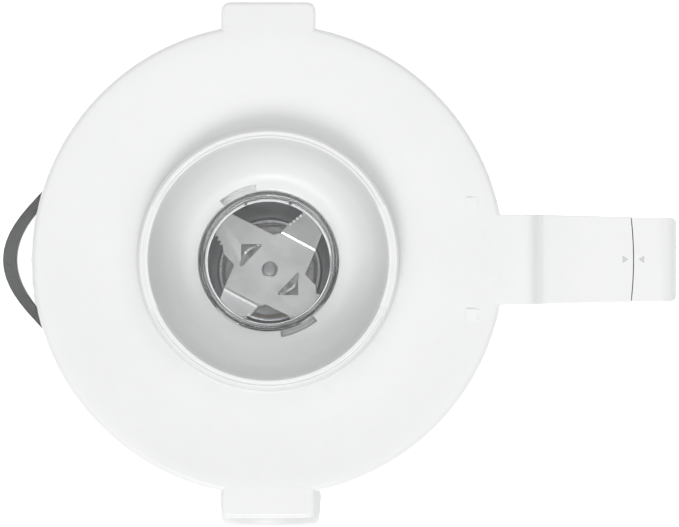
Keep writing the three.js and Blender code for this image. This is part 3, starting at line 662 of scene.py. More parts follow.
def make_material(name, finish):
    colours = bpy.context.scene.blender_colours
    makers = {
        "white_plastic": lambda: plastic(
            name, colours.body, (0.34, 0.44), 0.975, depth=0.012, dust=0.05, coat=0.1, edge=0.15),
        "grey_plastic": lambda: plastic(
            name, colours.trim, (0.42, 0.55), 0.93, grain=1.6, depth=0.03, edge=0.2),
        "carrier_plastic": lambda: plastic(
            name, colours.carrier, (0.38, 0.5), 0.88, grain=1.6, depth=0.03, dust=0.03, edge=0.25),
        "mark_print": lambda: plastic(name, colours.marks, (0.45, 0.6), 0.95, grain=1.2, depth=0.01),
        "dark_plastic": lambda: plastic(
            name, (0.025, 0.026, 0.028), (0.4, 0.55), 0.8, grain=1.4, depth=0.03, edge=0.2),
        "rubber": lambda: plastic(
            name, (0.035, 0.035, 0.036), (0.7, 0.9), 0.8, grain=0.9, depth=0.05, dust=0.3, edge=0.3),
        "silicone": lambda: plastic(name, (0.7, 0.71, 0.71), (0.45, 0.6), 0.92, grain=1.0, depth=0.02),
        "jug_plastic": lambda: clear_plastic(
            name, (0.91, 0.925, 0.93), (0.01, 0.045), (0.45, 0.455, 0.46), 0.003, 0.95),
        "cup_plastic": lambda: clear_plastic(
            name, (0.95, 0.955, 0.955), (0.0, 0.018), (0.8, 0.81, 0.81), 0.0015, 1.0),
        "blade_steel": lambda: metal(
            name, colours.steel, (0.16, 0.27), lines=2.6, depth=0.008, edge=0.6, turn=1.08),
        "steel": lambda: metal(name, (0.56, 0.56, 0.57), (0.22, 0.38)),
        "aluminium": lambda: metal(name, (0.72, 0.72, 0.73), (0.35, 0.55), lines=1.2, depth=0.03),
        "brass": lambda: metal(name, (0.74, 0.5, 0.2), (0.25, 0.42), lines=2.5),
        "copper": lambda: metal(name, (0.72, 0.34, 0.19), (0.25, 0.42), lines=2.5),
        "winding_wire": lambda: winding_wire(name),
        "motor_iron": lambda: stacked_iron(name),
        "board": lambda: circuit_board(name),
    }
    return makers[finish]()


def material(finish):
    """A finish, made the first time that it is asked for."""
    name = f"finish_{finish}"
    return bpy.data.materials.get(name) or make_material(name, finish)


# ---------------------------------------------------------------- base


def squared(x, y, z):
    """The housing is round at its deck and slightly squared at its foot."""
    down = min(max((DECK - 20 - z) / (DECK - 20), 0), 1)
    power = 2 + 0.3 * down
    angle = math.atan2(y, x)
    grow = (abs(math.cos(angle)) ** power + abs(math.sin(angle)) ** power) ** (-1 / power)
    return x * grow, y * grow, z


def add_housing(sizes):
    base, low, wall = HOUSING_HIGH.x, HOUSING_LOW.z, 3
    curve = [(base, low + 3, 1.5), (base - 0.8, 35, 10), (base - 4, 75, 16), (base - 9, 115, 12),
             (base - 12.5, 140, 4), (base - 13.8, DECK - 2.5, 1.6)]
    outside = [(base - 1, low, 0.8), curve[0], (base - 0.15, 15.2), (base - 0.75, 15.4),
               (base - 0.78, 16.1), (base - 0.2, 16.3), *curve[1:], (base - 15.2, DECK, 0.8)]
    deck = [(46, DECK, 0.6), (46, DECK + 9, 1), (42, DECK + 9, 1), (42, DECK, 0.8), (22, DECK, 0.5),
            (22, DECK + 5, 0.7), (19, DECK + 5, 0.7), (19, DECK - 1, 0.5), (7, DECK - 1, 0.4),
            (7, DECK - 3, 0.2), (10.3, DECK - 3, 0.2), (10.3, 138, 0.4), (14, 138, 0.4),
            (14, DECK - 3, 0.8), (base - 17.5, DECK - 3, 2)]
    inside = [(r - wall, z - (0.5 if z > 145 else 0), ease) for r, z, ease in reversed(curve)]
    profile = outside + deck + inside + [(base - 4, low, 0.5)]
    shell = turned("housing_shell", eased(profile), sizes.round_steps)
    reshape(shell, squared)
    for row in range(4):
        z = 44 + 10 * row
        slot = raised("vent", box_outline(-24, 24, z, z + 3.5, 1.7), 60, 90, side_view=True)
        cut(shell, slot)
    for radius, middle, y0, y1 in ((5, KNOB_MIDDLE, -90, -55), (6.3, INLET_MIDDLE, 55, 90)):
        cut(shell, raised("hole", arc(radius, 0, 348.75, 31, (0, middle)), y0, y1, side_view=True))
    soften(shell, 0.45, 2, 62)
    shade(shell, 40)
    finished(shell, "base", "white_plastic", "base_housing")


def add_underside():
    plate_low, plate_high, radius = COVER_LOW.z, COVER_HIGH.z, COVER_HIGH.x
    plate = turned("bottom_plate", eased([
        (0, plate_low + 0.6), (radius - 12, plate_low + 0.6, 0.5), (radius - 11, plate_low, 0.5),
        (radius, plate_low, 0.5), (radius, plate_high, 0.5), (0, plate_high)]), 96)
    reshape(plate, squared)
    for i in range(6):
        slot = raised("slot", [(x * math.cos(i * math.pi / 3) - y * math.sin(i * math.pi / 3),
                                x * math.sin(i * math.pi / 3) + y * math.cos(i * math.pi / 3))
                               for x, y in box_outline(12, 32, -1.8, 1.8, 1.7)], 5, 12)
        cut(plate, slot)
    for angle in SCREW_ANGLES:
        spot = polar(SCREW_CIRCLE, angle)
        sunk = turned("sunk", [(0, 5), (4.2, 5), (4.2, 8.6), (2.2, 8.6), (2.2, 12), (0, 12)], 32, middle=spot)
        cut(plate, sunk)
    for i in range(4):
        spot = polar(FOOT_CIRCLE, 45 + 90 * i)
        cut(plate, turned("hole", [(0, 5), (3.5, 5), (3.5, 12), (0, 12)], 32, middle=spot))
    soften(plate, 0.25, 1, 60)
    shade(plate)
    finished(plate, "base", "grey_plastic", "bottom_cover")

    foot_radius = (span("foot_1")[1].x - span("foot_1")[0].x) / 2
    foot = turned("rubber_foot", eased([
        (0, 0.5), (2.2, 0.5, 0.3), (2.6, 0, 0.3), (4.4, 0, 0.3), (4.8, 0.6, 0.3), (5.8, 0.6, 0.3),
        (6.2, 0, 0.3), (foot_radius - 0.6, 0, 0.5), (foot_radius, 2, 1), (foot_radius - 0.6, 6.6, 0.6),
        (3.2, 6.7), (3.2, 10.3), (4.6, 10.3, 0.4), (3, 14, 0.5), (0, 14)]), 40)
    shade(foot)
    screw = turned("cover_screw", eased([
        (0, 7.2), (2.6, 7.2, 0.3), (3.6, 7.9, 0.3), (3.6, 8.3, 0.1), (1.8, 8.3), (1.8, 26), (0, 28)]), 32)
    for turn in (45, 135):
        slot = [polar(2, turn), polar(0.55, turn + 90), polar(2, turn + 180), polar(0.55, turn + 270)]
        cut(screw, raised("slot", slot, 5, 8))
    soften(screw, 0.08, 1, 50)
    shade(screw)
    for i in range(4):
        piece = duplicate(foot, f"rubber_foot_{i + 1}", move=(*polar(FOOT_CIRCLE, 45 + 90 * i), 0))
        finished(piece, "base", "rubber", f"foot_{i + 1}")
        piece = duplicate(screw, f"cover_screw_{i + 1}", move=(*polar(SCREW_CIRCLE, SCREW_ANGLES[i]), 0))
        finished(piece, "base", "steel", f"bottom_screw_{i + 1}")
    for pattern in (foot, screw):
        bpy.data.meshes.remove(pattern.data)


def add_cord_bush():
    inside, outside = INLET_LOW.y, INLET_HIGH.y
    bush = turned("cord_bush", eased([
        (3.6, inside, 0.3), (9, inside, 0.5), (9, inside + 2.2, 0.5), (6, inside + 2.2, 0.2),
        (6, outside - 2, 0.2), (7.4, outside - 2, 0.4), (7.4, outside, 0.7), (4.8, outside, 0.6),
        (3.6, outside - 1, 0.5)]), 48, facing="front", middle=(0, INLET_MIDDLE))
    shade(bush)
    finished(bush, "base", "rubber", "cord_inlet")


def add_front_knob(sizes):
    radius, face, back = sizes.knob_radius / MM, KNOB_LOW.y, KNOB_HIGH.y
    knob = turned("dial_knob", eased([
        (0, face + 0.4), (8, face + 0.35), (radius - 4, face, 1.5), (radius - 1, face + 0.5, 1.2),
        (radius - 0.4, face + 4, 1.5), (radius, back - 2, 1), (radius - 0.5, back, 0.5),
        (3.4, back, 0.3), (3.4, back - 5), (0, back - 5)]), 240, facing="front", middle=(0, KNOB_MIDDLE))
    fluted(knob, 40, 0.45, face + 2.6, back - 0.6, radius - 2.5, facing="front")
    pointer = raised("pointer", box_outline(-1.1, 1.1, KNOB_MIDDLE + 6, KNOB_MIDDLE + radius - 2.6, 1),
                     face - 1, face + 0.75, side_view=True)
    cut(knob, pointer)
    soften(knob, 0.2, 2, 60)
    shade(knob, 40)
    finished(knob, "knob", "white_plastic", "speed_knob")
    inlay = raised("knob_pointer", box_outline(-0.8, 0.8, KNOB_MIDDLE + 6.4, KNOB_MIDDLE + radius - 3, 0.7),
                   face + 0.45, face + 0.85, side_view=True)
    soften(inlay, 0.1, 1)
    shade(inlay)
    finished(inlay, "knob", "mark_print", slot="grey_plastic")

    ring_front = BEZEL_LOW.y
    ring = turned("knob_ring", eased([
        (5.2, ring_front + 1.2), (17.6, ring_front + 1.2, 0.4), (18.4, ring_front + 0.2, 0.5),
        (19.6, ring_front, 0.6), (BEZEL_HIGH.x, ring_front + 0.8, 0.6), (BEZEL_HIGH.x, BEZEL_HIGH.y),
        (5.2, BEZEL_HIGH.y)]), 128, facing="front", middle=(0, KNOB_MIDDLE))
    core = turned("core", [(0, 0), (HOUSING_HIGH.x + 0.25, 9.5), (HOUSING_HIGH.x - 0.55, 35),
                           (HOUSING_HIGH.x - 3.75, 75), (HOUSING_HIGH.x - 8.75, 115), (0, 115)], 160)
    reshape(core, squared)
    cut(ring, core)
    shade(ring)
    finished(ring, "base", "grey_plastic", "knob_bezel")


DIAL_LABELS = {0: "0", 50: "1", 100: "2", 150: "3"}
PULSE_ANGLE = -45
DIAL_RADIUS = 25.5


def dial_spot(angle):
    """The x and z of a mark round the knob, with angles clockwise from the top."""
    turn = math.radians(angle)
    return DIAL_RADIUS * math.sin(turn), KNOB_MIDDLE + DIAL_RADIUS * math.cos(turn)


def print_on_housing(mark):
    """Lays a flat mark on the curved front of the housing and gives it the thickness of ink."""
    pick(mark)
    bpy.ops.object.modifier_add(type="SHRINKWRAP")
    wrap = mark.modifiers[-1]
    wrap.target = bpy.data.objects["housing_shell"]
    wrap.wrap_method = "PROJECT"
    wrap.use_project_y = True
    wrap.offset = 0.05 * MM
    bpy.ops.object.modifier_apply(modifier=wrap.name)
    bpy.ops.object.modifier_add(type="SOLIDIFY")
    ink = mark.modifiers[-1]
    ink.thickness, ink.offset = 0.12 * MM, -1
    bpy.ops.object.modifier_apply(modifier=ink.name)
    shade(mark)
    finished(mark, "base", "mark_print", slot="grey_plastic")


def add_dial_marks():
    """Numbers for the speeds and a dot for the pulse, round the knob."""
    for angle, label in DIAL_LABELS.items():
        x, z = dial_spot(angle)
        deselect_all()
        bpy.ops.object.text_add(location=place(x, KNOB_LOW.y - 5, z), rotation=(math.pi / 2, 0, 0))
        text = bpy.context.object
        text.name = f"dial_mark_{label}"
        text.data.body = label
        text.data.size = 5.2 * MM
        text.data.align_x, text.data.align_y = "CENTER", "CENTER"
        bpy.ops.object.convert(target="MESH")
        bpy.ops.object.transform_apply(location=True, rotation=True, scale=True)
        print_on_housing(bpy.context.object)
    circle = arc(1.1, 0, -348, 29, dial_spot(PULSE_ANGLE))
    dot = trace("dial_mark_pulse", [place(x, KNOB_LOW.y - 5, z) for x, z in circle])
    bpy.ops.mesh.edge_face_add()
    bpy.ops.object.mode_set(mode="OBJECT")
    print_on_housing(dot)


# ---------------------------------------------------------------- motor and drive

CAD_FINISHES = {
    "motor_iron": ("motor_stator", "armature_core", "jug_magnet"),
    "winding_wire": ("field_coil_front", "field_coil_back",
                     "armature_winding_top", "armature_winding_bottom"),
    "copper": ("commutator",),
    "aluminium": ("upper_bracket", "lower_bracket"),
    "steel": ("upper_bearing", "lower_bearing", "motor_shaft", "knob_shaft"),
    "brass": ("brush_holder_right", "brush_holder_left"),
    "rubber": ("motor_isolator_1", "motor_isolator_2", "motor_isolator_3", "motor_isolator_4", "deck_seal"),
    "dark_plastic": ("speed_switch", "reed_switch", "cooling_fan"),
    "board": ("control_board",),
}


def finish_motor():
    """The motor and switches keep their CAD shapes and get worked finishes."""
    for finish, nodes in CAD_FINISHES.items():
        for name in nodes:
            for place_of_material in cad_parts[name].material_slots:
                place_of_material.material = material(finish)


def add_coupling(name, cad_node, body):
    """A merged copy of a CAD coupling half with its edges rounded."""
    deselect_all()
    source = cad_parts[cad_node]
    obj = bpy.data.objects.new(name, source.data.copy())
    bpy.context.scene.collection.objects.link(obj)
    pick(obj)
    bpy.ops.object.mode_set(mode="EDIT")
    bpy.ops.mesh.select_all(action="SELECT")
    bpy.ops.mesh.remove_doubles(threshold=1e-5)
    bpy.ops.mesh.dissolve_limited(angle_limit=math.radians(3))
    bpy.ops.mesh.normals_make_consistent(inside=False)
    bpy.ops.object.mode_set(mode="OBJECT")
    soften(obj, 0.35, 2, 40)
    shade(obj)
    finished(obj, body, "dark_plastic", cad_node)


# ---------------------------------------------------------------- blade unit


def add_carrier():
    hub, collar_top, low = SEAT_LOW.z - 0.3, 188, CARRIER_LOW.z
    carrier = turned("carrier_collar", eased([
        (55.4, low, 0.6), (CARRIER_HIGH.x, low + 2, 1), (CARRIER_HIGH.x - 2, collar_top - 2.5, 2),
        (53, collar_top, 1.2), (49.5, collar_top, 0.5), (49.5, 176, 0.8), (17.2, 176, 1.2),
        (17.2, hub, 0.5), (7.3, hub, 0.3), (7.3, 171, 0.3), (14, 171, 0.5), (16.5, 173, 0.8),
        (52, 173, 1.5), (52, low, 0.6)]), 240)
    fluted(carrier, 30, 1.1, 156, 183, 53.6)
    shade(carrier, 40)
    finished(carrier, "jug", "carrier_plastic", "blade_carrier")

    low = SEAT_LOW.z
    seat = turned("blade_seat_disc", eased([
        (7.6, low, 0.2), (16.2, low, 0.3), (16.9, low + 0.6, 0.3), (16.9, low + 1.6, 0.3),
        (15.9, low + 1.6, 0.3), (15, low + 1, 0.4), (9.4, low + 0.9, 0.3),
        (8.8, low + 1.3, 0.2), (7.6, low + 1.3, 0.2)]), 96)
    shade(seat)
    finished(seat, "jug", "steel", "blade_seat")

    low, high = span("blade_seal")
    seal = turned("carrier_gasket", eased([
        (43, low.z, 0.4), (high.x, low.z, 0.4), (high.x, high.z, 0.4), (46.6, high.z, 0.3),
        (45.8, high.z - 0.5, 0.3), (45, high.z, 0.3), (43, high.z, 0.4)]), 96)
    shade(seal)
    finished(seal, "jug", "silicone", "blade_seal")

    low, high = span("blade_bushing")
    bushing = turned("hub_bushing", eased([
        (4.1, low.z, 0.3), (7, low.z, 0.4), (7, high.z, 0.6), (5.6, high.z, 0.3), (5, high.z - 0.6, 0.3),
        (4.1, high.z - 0.6, 0.2)]), 64)
    shade(bushing)
    finished(bushing, "jug", "brass", "blade_bushing")


def toothed(start, end, teeth, depth):
    """Points of a serrated edge: small hooked teeth cut into the line from start to end."""
    start, end = Vector(start), Vector(end)
    along = (end - start) / teeth
    inward = Vector((-along.y, along.x)).normalized() * depth
    points = []
    for i in range(teeth):
        root = start + along * i
        points += [root, root + along * 0.3 + inward, root + along * 0.72 + inward * 0.75]
    return [tuple(p) for p in points]


BEND_AXIS = 62
BEND_AT = 12.8
BEND_WIDTH = 2.6


def arm_point(along, across):
    """A point in the blade's plane, measured past the bend and sideways from its axis."""
    x, y = polar(BEND_AT + along, BEND_AXIS)
    side = polar(across, BEND_AXIS + 90)
    return x + side[0], y + side[1]


FIN_OUTLINE = [(-5.4, -0.4), (5, -0.4), (4.2, 1.2), (2.6, 2.6), (0.6, 3.6), (-0.6, 3.9), (-1.6, 3.4),
               (-4.6, 1.2)]


def add_blade(sizes):
    half = sizes.blade_thickness / MM / 2
    flat_arm = [(4, 12.4), (1.4, 11.6), (-13.6, 19), (-20, 22.3)]
    flat_arm += toothed((-22.8, 19.4), (-16, 6.8), 9, 1.0) + [(-15.2, 5.2), (-11.8, 1.7)]
    bent_arm = [arm_point(0, -10.5), arm_point(2.8, -10.05), arm_point(7.9, -9.6), arm_point(17.6, -7.6),
                arm_point(18.4, -5.6)]
    bent_arm += [arm_point(12.8, -1.7)]
    bent_arm += [arm_point(*p) for p in reversed(toothed((4.4, 1.5), (12.2, -1.5), 5, -1.0))]
    bent_arm += [arm_point(3.2, 1.8)]
    quarter = bent_arm + flat_arm
    outline = quarter + [(-x, -y) for x, y in quarter]
    blade = raised("cutting_blade", outline, BLADE_FLAT - half, BLADE_FLAT + half)
    for side in (1, -1):
        window = [(side * x, side * y) for x, y in ((-9.4, 8.4), (-9.4, 1), (-2.6, 8.4))]
        cut(blade, raised("window", eased([(*p, 0.4) for p in window]), BLADE_FLAT - 2, BLADE_FLAT + 2))
    cut(blade, turned("hole", [(0, BLADE_FLAT - 2), (2.45, BLADE_FLAT - 2), (2.45, BLADE_FLAT + 2),
                                   (0, BLADE_FLAT + 2)], 32))
    soften(blade, 0.14, 1, 50)
    bend_arms(blade, sizes.blade_rise)
    for side in (0, 180):
        fin = raised("fin", FIN_OUTLINE, -0.45, 0.45, side_view=True)
        soften(fin, 0.12, 1)
        reshape(fin, fold_up(side))
        combine(blade, fin)
    shade(blade, 30)
    finished(blade, "blades", "blade_steel", "blade")


def fold_up(side):
    """Stands a fin on the long edge of its window, leaning over the window."""
    turn = math.radians(46.3 + side)
    middle = Vector(((-9.4 - 2.6) / 2, (1 + 8.4) / 2)) * (1 if side == 0 else -1)
    normal = (math.sin(turn), -math.cos(turn))

    def rule(x, y, z):
        lean = -0.55 * z
        return (middle.x + x * math.cos(turn) + normal[0] * (lean - y),
                middle.y + x * math.sin(turn) + normal[1] * (lean - y),
                BLADE_FLAT + 0.5 + z)

    return rule


def bend_arms(blade, rise, steps=6):
    """Cuts two of the arms into narrow strips at their roots and curves them up from there."""
    start = BEND_AT - BEND_WIDTH / 2
    axis = Vector((*polar(1, BEND_AXIS), 0))
    pick(blade)
    bpy.ops.object.mode_set(mode="EDIT")
    for side in (1, -1):
        for i in range(steps + 1):
            at = AXIS + axis * side * (start + BEND_WIDTH * i / steps) * MM
            bpy.ops.mesh.select_all(action="SELECT")
            bpy.ops.mesh.bisect(plane_co=at, plane_no=axis)
    bpy.ops.object.mode_set(mode="OBJECT")
    radius = BEND_WIDTH / rise

    def rule(x, y, z):
        along = x * axis.x + y * axis.y
        past = abs(along) - start
        if past <= 0:
            return x, y, z
        lift = z - BLADE_FLAT
        angle = rise * min(past / BEND_WIDTH, 1)
        straight = max(past - BEND_WIDTH, 0)
        out = start + (radius - lift) * math.sin(angle) + straight * math.cos(angle)
        up = radius - (radius - lift) * math.cos(angle) + straight * math.sin(angle)
        change = math.copysign(out, along) - along
        return x + change * axis.x, y + change * axis.y, BLADE_FLAT + up

    return reshape(blade, rule)


def add_blade_fittings():
    top = span("blade_shaft")[1].z
    low = span("blade_shaft")[0].z
    shaft = turned("blade_post", eased([
        (0, low), (3.6, low, 0.3), (4, low + 0.5, 0.3), (4, BLADE_FLAT - 2, 0.3), (2.2, BLADE_FLAT - 2),
        (2.2, top - 0.5, 0.4), (0, top - 0.2)]), 48)
    shade(shaft)
    finished(shaft, "blades", "steel", "blade_shaft")

    low, high = span("blade_washer")
    washer = turned("thrust_washer", eased([
        (4.3, low.z, 0.3), (6.5, low.z, 0.4), (6.5, high.z, 0.4), (4.3, high.z, 0.3)]), 48)
    shade(washer)
    finished(washer, "blades", "steel", "blade_washer")

    low, high = span("blade_spacer")
    spacer = turned("blade_spacer_disc", eased([
        (2.5, low.z, 0.1), (6, low.z, 0.15), (6, high.z, 0.15), (2.5, high.z, 0.1)]), 48)
    shade(spacer)
    finished(spacer, "blades", "steel", "blade_spacer")

    low = span("blade_nut")[0].z
    rivet = turned("rivet_head", eased([
        (2.45, low, 0.1), (2.75, low, 0.1), (2.7, low + 0.3, 0.15), (2.4, top - 0.1, 0.1),
        (2.3, top + 0.02, 0.05), (2.2, top + 0.05, 0.05), (2.2, low + 0.4)]), 48)
    shade(rivet)
    finished(rivet, "blades", "steel", "blade_nut")


# ---------------------------------------------------------------- jug

SHOULDER = 188.5
HANDLE_TAPER = 0.16
SPOUT_SPREAD = 24
SPOUT_DROP = 58
SPOUT_EXTRA_WALL = 1.4
UPPER_BOSS = (64, 84, 360, 368)
LOWER_BOSS = (50, 70, 196, 206)


def jug_radius(sizes, z):
    low, high = 53.5, sizes.jug_rim_radius / MM
    return low + (high - low) * (z - SHOULDER) / (JUG_HIGH.z - SHOULDER)


def spouted(obj, sizes):
    """Pushes the wall out into a bell that is widest at the rim."""
    reach = sizes.spout_reach / MM

    def rule(x, y, z):
        radius = math.hypot(x, y)
        off = abs(math.degrees(math.atan2(y, -x)))
        if off >= SPOUT_SPREAD or radius < 52:
            return x, y, z
        height = min(max((z - JUG_HIGH.z + SPOUT_DROP) / SPOUT_DROP, 0), 1)
        bell = math.cos(math.pi / 2 * off / SPOUT_SPREAD) ** 2
        inner = radius < jug_radius(sizes, z) - sizes.jug_wall / MM / 2
        grow = 1 + (reach - SPOUT_EXTRA_WALL * inner) * bell * height ** 1.6 / radius
        return x * grow, y * grow, z

    return reshape(obj, rule)


def wall_points(sizes, inset, upwards):
    """Points up or down the tapered wall, close together where the spout is."""
    heights = [JUG_HIGH.z - 1.4 - 5 * i for i in range(12)]
    heights = heights if not upwards else heights[::-1]
    return [(jug_radius(sizes, z) - inset, z) for z in heights]


def add_jug(sizes):
    wall, top, low = sizes.jug_wall / MM, JUG_HIGH.z, JUG_LOW.z
    rim = sizes.jug_rim_radius / MM
    jug = turned("jug_body", eased([
        (17.6, 187, 0.3), (19, 187), (43, 192.4, 2), (45.5, 190.4, 1), (45.5, low, 0.4), (49, low, 0.4),
        (49, SHOULDER, 0.5), (53.5, SHOULDER, 0.6), *wall_points(sizes, 0, True), (rim, top, 1.3),
        (rim - wall, top, 1.3), *wall_points(sizes, wall, False), (jug_radius(sizes, 203) - wall, 203, 5),
        (44, 196, 3), (19, 190, 1), (17.6, 190, 0.3)]), 180)
    spouted(jug, sizes)
    for x0, x1, z0, z1 in (UPPER_BOSS, LOWER_BOSS):
        boss = raised("boss", box_outline(x0, x1, z0, z1), -7, 7, side_view=True)
        inner = turned("inner", [(0, z0 - 9), (jug_radius(sizes, z0 - 9) - wall / 2, z0 - 9),
                                 (jug_radius(sizes, z1 + 9) - wall / 2, z1 + 9), (0, z1 + 9)], 96)
        soften(boss, 0.6, 2)
        cut(boss, inner)
        combine(jug, boss)
    shade(jug, 30)
    finished(jug, "jug", "jug_plastic", "jug", slot="clear_plastic")


def add_scale_marks(sizes):
    """Level lines printed on the jug's wall to the left of the handle."""
    for i in range(9):
        z = 216 + 15 * i
        long_line = i % 2 == 1
        radius = jug_radius(sizes, z)
        width = 12 if long_line else 6
        line = wedge(f"level_line_{i + 1}", radius - 0.08, radius + 0.1, z - 0.5, z + 0.5,
                     -52 - width / 1.1, -52)
        shade(line)
        finished(line, "jug", "mark_print", slot="grey_plastic")


def handle_outline():
    """The handle's side view: cap, grip and lower arm, as (x, z)."""
    end, top = HANDLE_HIGH.x, TONGUE_TOP
    low, grip_in = HANDLE_LOW.z, 101.5
    return eased([
        (60, top - 10.7), (108, top - 10.7), (108, top), (end, top, 5.5), (end - 1, 300, 30),
        (end - 3, 222, 18), (107, 200, 14), (88, low + 0.6, 12), (50, low), (50, 213), (78, 214, 6),
        (97, 219, 12),
        (grip_in + 0.2, 240, 14), (grip_in + 1.5, 345, 12), (88, 356.2, 8), (60, 356)], steps=8)


def add_handle(sizes):
    half, end = HANDLE_HIGH.y, HANDLE_HIGH.x
    grip = raised("handle_grip", handle_outline(), -half, half, side_view=True)
    plan = eased([(50, -half), (end, -half, 3), (end, half, 3), (50, half)], steps=8)
    combine(grip, raised("plan", plan, 180, 400), "INTERSECT")
    soften(grip, 2.2, 5, 50)
    reshape(grip, lambda x, y, z: (x, y * (1 - HANDLE_TAPER * fade(TONGUE_TOP - 10.7 - z, 0, 163)), z))
    step, past = TONGUE_TOP - 10.7, TONGUE_END + 0.3
    tongue_room = [(0, step), (past, step), (past, TONGUE_TOP + 9), (0, TONGUE_TOP + 9)]
    cut(grip, turned("tongue_room", tongue_room, 360))
    room = turned("jug_room", [(0, 160), (53.8, 160), (jug_radius(sizes, SHOULDER) + 0.3, SHOULDER),
                               (jug_radius(sizes, 392) + 0.3, 392), (0, 392)], 160)
    cut(grip, room)
    for x0, x1, z0, z1 in (UPPER_BOSS, LOWER_BOSS):
        socket = box_outline(x0 - 10, x1 + 0.3, z0 - 0.3, z1 + 0.3)
        cut(grip, raised("socket", socket, -7.3, 7.3, side_view=True))
        bore = [(0, z0 - 12), (4, z0 - 12), (4, z0 - 2.4), (2.2, z0 - 2.4), (2.2, z0), (0, z0)]
        cut(grip, turned("bore", bore, 32, middle=((x0 + x1) / 2 + 4, 0)))
    soften(grip, 0.25, 2, 65)
    shade(grip, 38)
    finished(grip, "jug", "white_plastic", "jug_handle")

    for name, (x0, x1, z0, _) in (("upper", UPPER_BOSS), ("lower", LOWER_BOSS)):
        screw = turned(f"grip_screw_{name}", eased([
            (0, z0 - 4.8), (2.8, z0 - 4.8, 0.3), (3.6, z0 - 4.2, 0.3), (3.6, z0 - 2.8, 0.1), (1.7, z0 - 2.8),
            (1.7, z0 + 6), (0, z0 + 6.4)]), 32, middle=((x0 + x1) / 2 + 4, 0))
        shade(screw)
        finished(screw, "jug", "steel", f"handle_screw_{name}")


# ---------------------------------------------------------------- lid


def add_lid(sizes):
    rim, collar, hole = sizes.lid_radius / MM, sizes.collar_radius / MM, sizes.filler_radius / MM
    low, top, floor, under = LID_LOW.z, LID_TOP, DISH_FLOOR, LID_UNDER
    lid = turned("lid_shell", eased([
        (hole, low, 0.4), (hole, floor, 0.5), (hole + 5, floor, 3.5), (hole + 10.5, floor + 6, 4),
        (collar - 4.8, floor + 17, 5), (collar - 3.8, floor + 24.4, 1.6), (collar - 2.9, COLLAR_TOP, 0.2),
        (collar - 2.3, COLLAR_TOP, 0.1), (collar - 2, COLLAR_TOP - 0.4, 0.1),
        (collar - 1.6, COLLAR_TOP - 0.4, 0.1), (collar - 1.3, COLLAR_TOP, 0.1),
        (collar - 0.9, COLLAR_TOP, 0.3), (collar, COLLAR_TOP - 1.4, 0.4), (collar + 0.2, top - 2, 0.9),
        (collar + 10, top - 2.1, 4), (rim - 3.6, top, 2), (rim - 1, top - 0.1, 0.7), (rim, top - 1.3, 0.8),
        (rim, under + 0.6, 0.3), (rim - 0.6, under, 0.3), (64.2, under, 0.6), (64.2, 353, 1), (61.7, 353, 1),
        (61.7, under - 1.5, 1), (collar - 1.6, under - 1.5, 1.5), (33, floor - 3, 1.5), (26, floor - 3, 1),
        (26, low, 0.6)]), sizes.round_steps)
    for side in (1, -1):
        combine(lid, grip_tab(side))
    combine(lid, tongue())
    for start, end in ((-23, 25), (155, 203.5)):
        cut(lid, wedge("lip_cut", collar - 6, collar + 1, COLLAR_TOP - 0.3, COLLAR_TOP + 1, start, end))
    for start, end in LUG_ANGLES:
        cut(lid, wedge("entry", hole - 2, CHANNEL_RADIUS, LUG_LOW - LUG_ROOM, DISH_FLOOR + 3,
                       start - 1, end + 1))
        cut(lid, wedge("channel", hole - 2, CHANNEL_RADIUS, LUG_LOW - LUG_ROOM, LUG_HIGH + LUG_ROOM,
                       start - 1, end + CUP_TURN + 1))
    soften(lid, 0.22, 2, 62)
    shade(lid, 36)
    finished(lid, "lid", "white_plastic", "lid")


def grip_tab(side):
    """One of the two tabs at the front and back, cut clear of the jug's rim below the disc."""
    outer, half = LID_HIGH.y, 14.55
    y0, y1 = (68.6, outer) if side > 0 else (-outer, -68.6)
    tab = raised("grip_tab", box_outline(-half, half, y0, y1, 3), 371, LID_TOP - 0.02)
    soften(tab, 1.3, 4, 50)
    room = turned("rim_room", [(0, 368), (71.1, 368), (71.1, LID_UNDER), (0, LID_UNDER)], 160)
    return cut(tab, room)


def tongue():
    """The lid's tongue, which covers the handle and ends at the handle's cap."""
    past, top, under = TONGUE_END + 8, TONGUE_TOP, TONGUE_TOP - 10.4
    side = raised("tongue", eased([
        (66, LID_UNDER), (71.3, LID_UNDER), (71.3, under, 0.4), (past, under), (past, top), (85.6, top, 4),
        (82.8, top - 1.6, 2), (80.4, LID_TOP - 0.2, 2.4), (66, LID_TOP - 0.2)]), -20, 20, side_view=True)
    plan = raised("plan", [(60, -13.9), (77, -13.9), (82, -13.7), (102, -13.2), (past, -12.9),
                           (past, 12.9), (102, 13.2), (82, 13.7), (77, 13.9), (60, 13.9)], 360, 400)
    combine(side, plan, "INTERSECT")
    soften(side, 1.7, 4, 50)
    disc = turned("end_arc", [(0, 360), (TONGUE_END, 360), (TONGUE_END, 400), (0, 400)], 360)
    return combine(side, disc, "INTERSECT")


def add_lid_marks():
    """Two triangles that meet across the seam, and the locked and unlocked signs."""
    half, top = 1.15, TONGUE_TOP
    for name, tip, back, body in (("lid_arrow", TONGUE_END - 1.4, TONGUE_END - 3.2, "lid"),
                                  ("handle_arrow", TONGUE_END + 1.6, TONGUE_END + 3.4, "jug")):
        arrow = raised(name, [(tip, 0), (back, half), (back, -half)], top - 0.15, top + 0.04)
        soften(arrow, 0.03, 1)
        shade(arrow)
        finished(arrow, body, "mark_print", slot="grey_plastic")
    for name, middle_y, shackle_side in (("sign_unlocked", 17, 1.5), ("sign_locked", -17.2, 0)):
        finished(padlock(name, middle_y, shackle_side), "lid", "white_plastic")


